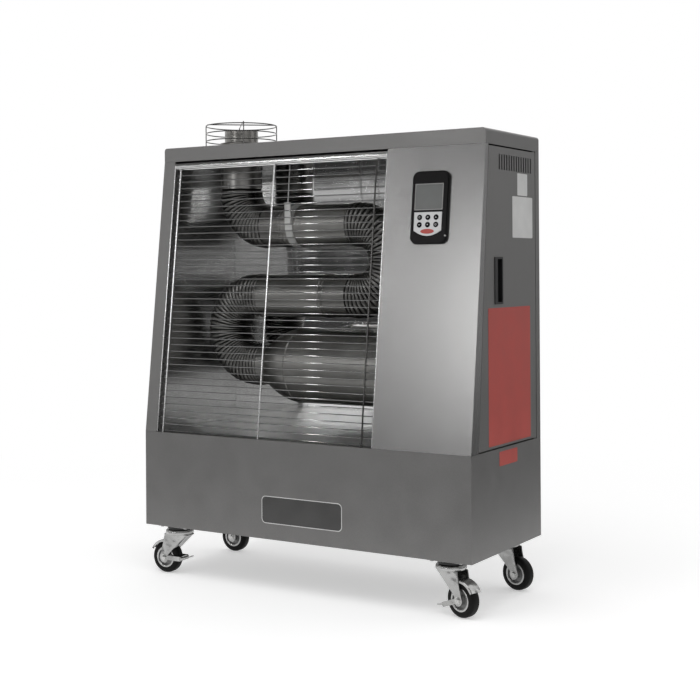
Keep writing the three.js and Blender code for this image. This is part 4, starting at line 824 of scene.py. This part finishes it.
# The pressed fork: two legs and the apron between their leading edges, as one bent sheet.
def forkSheetSurface(frame):
    trail, axleZ, eye = caster["trail"], caster["axleZ"], caster["eye"]
    top = caster["crownBottom"] + forkSide["overlap"]
    half = caster["halfInner"] + caster["sheet"]
    neck, neckZ, steps = forkSide["neck"], axleZ + eye / 2, forkSide["cornerSteps"]
    levels = [top - forkSide["levelStep"] * i for i in range(forkSide["levels"])]
    levels += [axleZ + eye * math.cos(math.radians(a)) for a in range(60, 180, 12)]
    levels.append(axleZ - eye * forkSide["eyeEndShare"])
    rows = []
    for z in levels:
        drop = max(-1.0, min(1.0, (z - axleZ) / eye))
        if z < neckZ:
            reach = eye * math.sqrt(max(0.0, 1 - drop * drop))
            front, rear = trail - reach, trail + reach
        else:
            t = (top - z) / (top - neckZ)
            front = forkSide["front"] + (trail - neck - forkSide["front"]) * t ** forkSide["frontCurve"]
            rear = forkSide["rear"] + (trail + neck - forkSide["rear"]) * t ** forkSide["rearCurve"]
        corner = min(caster["corner"], (rear - front) / 4)
        row = [(rear, half, z), ((front + corner + rear) / 2, half, z)]
        for i in range(steps + 1):
            angle = math.pi / 2 * i / steps
            x, y = front + corner - corner * math.sin(angle), half - corner + corner * math.cos(angle)
            row.append((x, y, z))
        row += [(x, -y, z) for x, y, z in reversed(row)]
        rows.append(row)
    width = len(rows[0])
    points = [frame.swivelled(*p) for row in rows for p in row]
    faces = []
    for i in range(len(rows) - 1):
        for j in range(width - 1):
            isApron = 4 <= j <= width - 6
            if isApron and rows[i + 1][0][2] < caster["apronEnd"]:
                continue
            a = i * width + j
            faces.append((a, a + 1, a + width + 1, a + width))
    return points, faces


def makeFork(name, frame, hooded):
    body = "fork_" + name
    stands = ["caster_fork_" + name]
    sheet = piece("fork_sheet_" + name, *forkSheetSurface(frame), zinc, body, stands=stands, sharp=50)
    solid = sheet.modifiers.new("sheet", "SOLIDIFY")
    solid.thickness = caster["sheet"] / 1000
    solid.offset = -1
    solid.use_even_offset = True
    rounded(sheet, 0.35)
    r = caster["crownRadius"]
    low, high = caster["crownBottom"], caster["crownTop"]
    profile = [(low, 3), (low, r - 3.5), (low + 0.8, r - 1.6), (low + 3, r - 0.3), (low + 6, r)]
    profile += [(high - 2.4, r - 0.5), (high - 0.7, r - 2), (high, r - 4.5), (high, 3)]
    turned("crown_" + name, profile, frame.swivelled(0, 0, 0), upright, zinc, 72, body=body)
    makeAxle(name, frame, body)
    if hooded:
        makeHood(name, frame, body)


def makeAxle(name, frame, body):
    outer = caster["halfInner"] + caster["sheet"]
    across, centre = frame.across(), frame.axle()
    washer = [(2.2, 1), (2.2, 8), (3.2, 7.6), (3.2, 1)]
    nut = [(3, 0.5), (3, 6.4), (5.1, 6.4), (5.5, 5.4), (5.5, 0.5)]
    parts = []
    for side in (-1, 1):
        for outline, sides in ((washer, 40), (nut, 6)):
            profile = [(outer + out, radius) for out, radius in outline]
            parts.append(skin(turnedRings(profile, centre, across * side, sides)))
    shaft = [(-outer - 4, 0.3), (-outer - 4, 4), (outer + 4, 4), (outer + 4, 0.3)]
    parts.append(skin(turnedRings(shaft, centre, across, 32)))
    piece("axle_" + name, *merged(parts), boltSteel, body, sharp=30)


# The curved guard over the wheel that the brake works in.
def makeHood(name, frame, body):
    trail, axleZ, steps = caster["trail"], caster["axleZ"], caster["hoodSteps"]
    start, end = caster["hood"]
    inner = caster["wheel"] + caster["hoodGap"]
    half = caster["halfInner"] + caster["sheet"]
    outline = [(half, inner - 3.5), (half, inner + 1), (half - 1.6, inner + 2.4)]
    outline += [(-y, r) for y, r in reversed(outline)]
    groove = [(half - 1.2, inner - 3.5), (half - 2.2, inner)]
    outline += [(-y, r) for y, r in groove] + groove[::-1]
    rings = []
    for i in range(steps + 1):
        angle = math.radians(start + (end - start) * i / steps)
        x, z = math.cos(angle), math.sin(angle)
        rings.append([frame.swivelled(trail + r * x, y, axleZ + r * z) for y, r in outline])
    points, faces = skin(rings, closed=False)
    # Both caps face against the sides, which widens the rounding at the two ends.
    faces[-1] = faces[-1][::-1]
    rounded(piece("hood_" + name, points, faces, zinc, body, outward=False), 0.3)


def makeWheel(name, frame):
    body = "wheel_" + name
    w, r = caster["halfWidth"], caster["wheel"]
    centre, across = frame.axle(), frame.across()
    tyreHalf = [(-w, 25.3), (-w, 31.2), (0.7 - w, 33.6), (2.2 - w, 35.9), (4.4 - w, 37.3), (7 - w, r - 0.1)]
    for part, half, material, sharp in (("tyre", tyreHalf, rubber, 60), ("hub", hubHalf, hubPlastic, 40)):
        profile = half + [(-y, radius) for y, radius in reversed(half)]
        keys = {"body": body, "stands": [f"caster_{part}_{name}"], "sharp": sharp}
        turned(f"{part}_{name}", profile, centre, across, material, 96, **keys)
    for side in (-1, 1):
        turned(f"rim_{name}_{side + 1}", rimOutline, centre, across * side, hubRim, 96, body=body, sharp=40)


for casterName, (side, end, heading, braked) in caster["places"].items():
    casterFrame = CasterFrame(side, end, heading)
    makePlate(casterName, casterFrame)
    makeFork(casterName, casterFrame, braked)
    makeWheel(casterName, casterFrame)
    if braked:
        dress("brake_lever_" + casterName, zinc, 0.5)
print("casters made")

# Control unit

control = {
    "x": 316,
    "up": 525.8,
    "proud": 8,
    "lens": (-2.2, 23, 69.5, 58.4),
    "lensFace": 7.5,
    "frameWidth": 2.2,
    "frameCorners": (1.5, 2.5),
    "oval": (-2.5, -52.6, 33, 10.5),
    "dot": (41, -62.5, 2.1),
    "button": (5.9, 1.2, 4.2),
    "columns": (-22.3, -2.2, 17.9),
    "rows": (-22.1, -38.2),
    "dish": 0.15,
    "markHeight": 0.12,
    "frameHeight": 0.12,
    "ovalHeight": 0.35,
    "ovalSides": 48,
    "bar": (1.9, 0.35),
    "barStep": 1.4,
    "triangle": ((-1.9, -1.3), (1.9, -1.3), (0, 1.7)),
}


# A place on the control unit: right and up from its middle, and out from the leaning front.
def onUnit(right, up, out):
    return onLean(control["x"] + right, -out, control["up"] + up)


def band(outlineOuter, outlineInner, low, high, place):
    walls = ((outlineOuter, low), (outlineOuter, high), (outlineInner, high), (outlineInner, low))
    return skin([[place(x, y, z) for x, y in outline] for outline, z in walls])


def oval(width, height):
    return [(width / 2 * math.cos(t), height / 2 * math.sin(t)) for t in turns(control["ovalSides"])]


def rectangle(x, low, high):
    return [(-x, low), (x, low), (x, high), (-x, high)]


def makeButtons(outward):
    (radius, proud, height), dish = control["button"], control["dish"]
    top = control["proud"] + proud
    profile = [(top - height, 0.05), (top - height, radius), (top - 0.9, radius)]
    profile += [(top - 0.5, radius - 0.15), (top - 0.18, radius - 0.6), (top, radius - 1.3)]
    profile += [(top - 0.12, radius - 2.4), (top - dish, 0.05)]
    places = [(right, up) for up in control["rows"] for right in control["columns"]]
    for number, (right, up) in enumerate(places, 1):
        body = f"button_{number}"
        centre = onUnit(right, up, 0)
        turned(f"push_{number}", profile, centre, outward, gloss, 48, body=body, stands=[body])
        makeMark(number, right, up, top - dish, body)


# The sign on a button: on, menu, up, less, down and select.
def makeMark(number, right, up, level, body):
    high = level + control["markHeight"]
    halfBar, halfStroke = control["bar"]
    bar = rectangle(halfBar, -halfStroke, halfStroke)
    upward = list(control["triangle"])
    downward = [(x, -y) for x, y in reversed(upward)]
    circles = {1: (4.4, 3.3), 6: (4.6, 2.9)}
    shapes = {
        1: [(rectangle(halfStroke, 0.2, 2.6), 0, 0.03)],
        2: [(bar, step * control["barStep"], 0) for step in (-1, 0, 1)],
        3: [(upward, 0, 0)],
        4: [([(1.2 * x, 1.3 * y) for x, y in bar], 0, 0)],
        5: [(downward, 0, 0)],
        6: [],
    }
    parts = []
    if number in circles:
        outer, inner = [moved(oval(width, width), right, up) for width in circles[number]]
        parts.append(band(outer, inner, level, high, onUnit))
    for outline, rise, extra in shapes[number]:
        parts.append(prism(moved(outline, right, up + rise), level, high + extra, onUnit))
    piece(f"mark_{number}", *merged(parts), whiteMark, body)


def makeControlUnit():
    outward = (onUnit(0, 0, 1) - onUnit(0, 0, 0)).normalized()
    x, up, width, height = control["lens"]
    face, edge, (corner, innerCorner) = control["lensFace"], control["frameWidth"], control["frameCorners"]
    outer = moved(roundedOutline(width / 2, height / 2, corner), x, up)
    inner = moved(roundedOutline(width / 2 - edge, height / 2 - edge, innerCorner), x, up)
    piece("display_frame", *band(outer, inner, face, face + control["frameHeight"], onUnit), lensFrame)
    x, up, width, height = control["oval"]
    low = control["proud"]
    mark = prism(moved(oval(width, height), x, up), low, low + control["ovalHeight"], onUnit)
    rounded(piece("keypad_oval", *mark, redPlate), 0.15)
    # A small white dome near the unit's lower right corner; it does not glow.
    x, up, radius = control["dot"]
    profile = [(6.2, 0.02), (6.2, radius), (7.6, radius), (8.3, radius * 0.7), (8.6, 0.02)]
    turned("white_dome", profile, onUnit(x, up, 0), outward, whiteMark, 32)
    makeButtons(outward)


makeControlUnit()
print("control unit made")

# Bare plates, badge and screws

plates = {
    "sideX": 440,
    "thickness": 0.35,
    "corner": 2.5,
    "badge": (13.5, 67.7, 217, 62.5, 11),
    "badgeSteps": 8,
    "fieldReach": (-0.3, 0.03),
    "rimReach": (-0.1, 0.02),
    "rimWidth": 1.6,
}
# Each plate on the right side: from front to back, from low to high, its finish and its body.
sidePlates = {
    "large_red_plate": (85, 301, 234, 530, redPlate, "door"),
    "pale_plate": (210, 317, 683, 775, palePlate, "door"),
    "small_pale_plate": (237, 290, 777.6, 827, palePlate, "door"),
    "base_red_plate": (136, 228, 187, 218, redPlate, "cabinet"),
}


# A place on the base's front: right of its middle, up, and out from its face.
def onBase(right, up, out):
    return at(right, -out, up)


def makePlates():
    side, thickness, corner = plates["sideX"], plates["thickness"], plates["corner"]
    for name, (y0, y1, z0, z1, finish, body) in sidePlates.items():
        outline = moved(roundedOutline((y1 - y0) / 2, (z1 - z0) / 2, corner), (y0 + y1) / 2, (z0 + z1) / 2)
        piece(name, *prism(outline, side, side + thickness, lambda y, z, x: at(x, y, z)), finish, body)
    (x, z, width, height, radius), steps = plates["badge"], plates["badgeSteps"]
    outer, inner = [
        moved(roundedOutline(width / 2 - rim, height / 2 - rim, radius - rim, steps), x, z)
        for rim in (0, plates["rimWidth"])
    ]
    piece("badge_field", *prism(inner, *plates["fieldReach"], onBase), badgePaint)
    piece("badge_rim", *band(outer, inner, *plates["rimReach"], onBase), palePlate)


# The rear panel's screws: two rows of columns, and more at its two sides.
screws = {
    "radius": 4.6,
    "height": 2.1,
    "socket": 1.5,
    "columns": (-427, -213, 0, 213, 427),
    "rows": (236, 871),
    "sideRows": (395, 554, 713),
    "seat": 0.05,
}


def makeScrews():
    r, h, socket = screws["radius"], screws["height"], screws["socket"]
    profile = [(0, 0.05), (0, r), (h * 0.35, r * 0.97), (h * 0.75, r * 0.72), (h, r * 0.4)]
    profile += [(h, socket), (h * 0.4, socket * 0.8), (h * 0.4, 0.05)]
    columns = screws["columns"]
    places = [(x, z) for x in columns for z in screws["rows"]]
    places += [(x, z) for z in screws["sideRows"] for x in (columns[0], columns[-1])]
    parts = []
    for x, z in places:
        centre = at(x, cabinet["depth"] + screws["seat"], z)
        parts.append(skin(turnedRings(profile, centre, backwards, 24)))
    piece("rear_screws", *merged(parts), boltSteel, sharp=30)


makePlates()
makeScrews()
print("plates and screws made")

# Stage, lights and camera

# Lengths are in metres here, but for the camera's place. Tones go with heights, and 1 is white.
stage = {
    "floorReach": 30,
    "floorLift": 0.38,
    "dullness": 0.9,
    "paper": (0.86, 0.9),
    "paperScale": 3,
    "paperNear": 0.95,
    "paperFar": 2.4,
    "fill": 0.6,
    "cloud": 0.15,
    "cloudScale": 0.9,
}
lamps = {
    "frontLamp": ((-1.05, -4.0, 1.36), (0.1, 0, 0.72), 0.9, 0.9, 11),
    "topLamp": ((0.2, -1.4, 3.2), (0, 0, 0.6), 2.6, 1.8, 26),
    "sideLamp": ((3.2, 1.9, 1.6), (0.3, 0, 0.5), 1.6, 1.6, 8),
}
cards = {
    "reach": 4.3,
    "height": 3.4,
    "groundLevel": 0.004,
    "leftTones": [
        (0, 0.4), (0.06, 0.05), (0.7, 0.03), (0.91, 0.03), (0.95, 0.8), (1.08, 0.8), (1.11, 0.1),
        (1.175, 0.1), (1.19, 0.6), (1.245, 0.62), (1.27, 0.06), (1.32, 0.08), (1.37, 0.6), (1.85, 0.5),
        (2.3, 0.1),
    ],
    "rightTones": [
        (0, 0.1), (0.05, 0.03), (0.62, 0.02), (0.635, 1.6), (0.66, 1.6), (0.675, 0.02), (0.82, 0.02),
        (0.832, 1.8), (0.862, 1.8), (0.875, 0.02), (1.3, 0.03), (1.42, 1.2), (2, 1), (2.4, 0.2),
    ],
    "sideTones": [(0, 0.25), (0.3, 0.6), (1.1, 0.6), (1.3, 1.3), (2.1, 1.3), (2.5, 0.12), (3.4, 0.12)],
    "backTones": [(0, 0.4), (0.3, 0.32), (3.4, 0.4)],
    "topEnd": 0.6,
    "topTone": 0.08,
    "sideEnd": -0.4,
    "rearStart": 1,
    "near": -0.75,
    "far": -1.9,
    "nearGroundTone": 0.12,
    "farGroundTone": 0.8,
    "sideGroundStart": 0.8,
    "sideGroundTone": 0.05,
    "brightY": -4.2,
    "flue": (2.75, 3.25, 1.38, 1.52),
    "flueTone": 14,
    "dashTone": 26,
    "dashWidth": 0.06,
    "dashPlaces": ((-2.709, 1.4), (-2.804, 2), (-2.978, 2.7), (-3.2, 3.38)),
}
view = {
    "place": (1655.34, -2427.48, 619.52),
    "yaw": 31.851,
    "roll": -0.362,
    "sensor": 36,
    "lens": 67.06,
    "shiftUp": -0.11806,
    "clip": (0.1, 100),
}


# 1 for what the camera sees directly, mirrored or through something clear, and else 0.
def seenNode(tree):
    path = tree.nodes.new("ShaderNodeLightPath")
    seen = mathNode(tree, "MAXIMUM", path.outputs["Is Camera Ray"], path.outputs["Is Glossy Ray"])
    return mathNode(tree, "MAXIMUM", seen, path.outputs["Is Transmission Ray"])


def blend(tree, amount, first, second, output):
    mix = addNode(tree, "MixShader", {"Fac": amount, 1: first, 2: second})
    feed(output, {"Surface": mix.outputs["Shader"]})


# A four-cornered sheet with a material of its own.
def stageSheet(name, corners):
    mesh = bpy.data.meshes.new(name)
    mesh.from_pydata(corners, [], [(0, 1, 2, 3)])
    obj = bpy.data.objects.new(name, mesh)
    scene.collection.objects.link(obj)
    material = bpy.data.materials.new(name)
    material.use_nodes = True
    mesh.materials.append(material)
    return obj, material.node_tree


# White paper that runs out into the white of the backdrop, with the shadow near the heater.
def makeFloor():
    floorLevel, reach = boundsAtLoad[0][2], stage["floorReach"]
    corners = [(-reach, -reach), (reach, -reach), (reach, reach), (-reach, reach)]
    floor, tree = stageSheet("floor", [(x, y, floorLevel) for x, y in corners])
    paper = addNode(tree, "TexNoise", {"Scale": stage["paperScale"]})
    seen = seenNode(tree)
    shader = tree.nodes["Principled BSDF"]
    feed(shader, {
        "Base Color": rangeNode(tree, paper.outputs["Fac"], *stage["paper"]),
        "Roughness": stage["dullness"],
        "Specular IOR Level": 0,
        "Emission Color": (1, 1, 1, 1),
        "Emission Strength": mathNode(tree, "MULTIPLY", seen, stage["floorLift"]),
    })
    place = tree.nodes.new("ShaderNodeNewGeometry")
    away = addNode(tree, "VectorMath", {0: place.outputs["Position"]}, "LENGTH")
    fade = rangeNode(tree, away.outputs["Value"], 0, 1, stage["paperNear"], stage["paperFar"])
    fade.node.interpolation_type = "SMOOTHSTEP"
    white = addNode(tree, "Emission", {"Strength": seen})
    blend(tree, fade, shader.outputs["BSDF"], white.outputs["Emission"], tree.nodes["Material Output"])


def makeWorld():
    world = bpy.data.worlds.new("studio")
    world.use_nodes = True
    scene.world = world
    tree = world.node_tree
    tree.nodes.clear()
    lights = [
        addNode(tree, "Background", {"Color": (1, 1, 1, 1), "Strength": strength}).outputs["Background"]
        for strength in (stage["fill"], 1)
    ]
    blend(tree, seenNode(tree), *lights, tree.nodes.new("ShaderNodeOutputWorld"))


def softbox(name, place, aim, width, height, power):
    data = bpy.data.lights.new(name, "AREA")
    data.shape = "RECTANGLE"
    data.size = width
    data.size_y = height
    data.energy = power
    lamp = bpy.data.objects.new(name, data)
    scene.collection.objects.link(lamp)
    lamp.location = place
    lamp.rotation_euler = (Vector(aim) - Vector(place)).to_track_quat("-Z", "Y").to_euler()
    lamp.visible_camera = False


# A card outside the picture, there only for what the metal reflects.
def makeCard(name, corners, tones):
    card, tree = stageSheet(name, corners)
    tree.nodes.clear()
    place = tree.nodes.new("ShaderNodeNewGeometry")
    split = addNode(tree, "SeparateXYZ", {"Vector": place.outputs["Position"]})
    ramp = addNode(tree, "ValToRGB", {"Fac": mathNode(tree, "DIVIDE", split.outputs["Z"], cards["height"])})
    stops = ramp.color_ramp.elements
    while len(stops) < len(tones):
        stops.new(0.5)
    for stop, (level, tone) in zip(stops, tones):
        stop.position = level / cards["height"]
        stop.color = (tone, tone, tone, 1)  # above 1 is brighter than white
    cloud = addNode(tree, "TexNoise", {"Scale": stage["cloudScale"]})
    vary = rangeNode(tree, cloud.outputs["Fac"], 1 - stage["cloud"], 1 + stage["cloud"])
    path = tree.nodes.new("ShaderNodeLightPath")
    # A ray that a dull surface has scattered doesn't see the card.
    sharp = mathNode(tree, "LESS_THAN", path.outputs["Diffuse Depth"], 0.5)
    strength = mathNode(tree, "MULTIPLY", vary, sharp)
    glow = addNode(tree, "Emission", {"Color": ramp.outputs["Color"], "Strength": strength})
    addNode(tree, "OutputMaterial", {"Surface": glow.outputs["Emission"]})
    card.visible_camera = False
    card.visible_diffuse = False
    card.visible_shadow = False


# An upright card over the line from one place on the floor to another.
def wallCard(name, start, end, tones):
    (x0, y0), (x1, y1), height = start, end, cards["height"]
    makeCard(name, [(x0, y0, 0), (x1, y1, 0), (x1, y1, height), (x0, y0, height)], tones)


# A level card of one tone.
def levelCard(name, xs, ys, z, tone):
    corners = [(xs[0], ys[0], z), (xs[1], ys[0], z), (xs[1], ys[1], z), (xs[0], ys[1], z)]
    makeCard(name, corners, [(0, tone), (cards["height"], tone)])


# A small bright card far to the front, of one tone.
def brightCard(name, corners, tone):
    makeCard(name, [(x, cards["brightY"], z) for x, z in corners], [(0, tone), (cards["height"], tone)])


def makeCards():
    w, side, ground = cards["reach"], cards["sideEnd"], cards["groundLevel"]
    wallCard("frontLeftCard", (-w, -w), (0, -w), cards["leftTones"])
    wallCard("frontRightCard", (0, -w), (w, -w), cards["rightTones"])
    wallCard("leftCard", (-w, cards["topEnd"]), (-w, -w), cards["sideTones"])
    wallCard("rightCard", (w, -w), (w, side), cards["sideTones"])
    levelCard("topCard", (-w, w), (-w, cards["topEnd"]), cards["height"], cards["topTone"])
    levelCard("nearGroundCard", (-w, w), (cards["far"], cards["near"]), ground, cards["nearGroundTone"])
    levelCard("farGroundCard", (-w, w), (-w, cards["far"]), ground, cards["farGroundTone"])
    wallCard("backCard", (w, side), (w, w), cards["backTones"])
    wallCard("rearCard", (w, w), (cards["rearStart"], w), cards["backTones"])
    x0, x1, z0, z1 = cards["flue"]
    brightCard("flueCard", [(x0, z0), (x1, z0), (x1, z1), (x0, z1)], cards["flueTone"])
    dashes, half = cards["dashPlaces"], cards["dashWidth"] / 2
    for i, ((x0, z0), (x1, z1)) in enumerate(zip(dashes, dashes[1:])):
        corners = [(x0 - half, z0), (x0 + half, z0), (x1 + half, z1), (x1 - half, z1)]
        brightCard(f"dashCard{i}", corners, cards["dashTone"])
    levelCard("sideGroundCard", (cards["sideGroundStart"], w), (side, w), ground, cards["sideGroundTone"])


def makeCamera():
    data = bpy.data.cameras.new("camera")
    data.sensor_width = view["sensor"]
    data.lens = view["lens"]
    data.shift_y = view["shiftUp"]
    data.clip_start, data.clip_end = view["clip"]
    camera = bpy.data.objects.new("camera", data)
    scene.collection.objects.link(camera)
    yaw, roll = math.radians(view["yaw"]), math.radians(view["roll"])
    forward = Vector((-math.sin(yaw), math.cos(yaw), 0))
    right = Vector((math.cos(yaw), math.sin(yaw), 0))
    tiltedRight = right * math.cos(roll) + upright * math.sin(roll)
    tiltedUp = upright * math.cos(roll) - right * math.sin(roll)
    turn = Matrix((tiltedRight, tiltedUp, -forward)).transposed().to_4x4()
    camera.matrix_world = Matrix.Translation(at(*view["place"])) @ turn
    scene.camera = camera


scene.view_settings.view_transform = "Standard"
makeWorld()
makeFloor()
for lampName, row in lamps.items():
    softbox(lampName, *row)
makeCards()
makeCamera()
print("stage set")
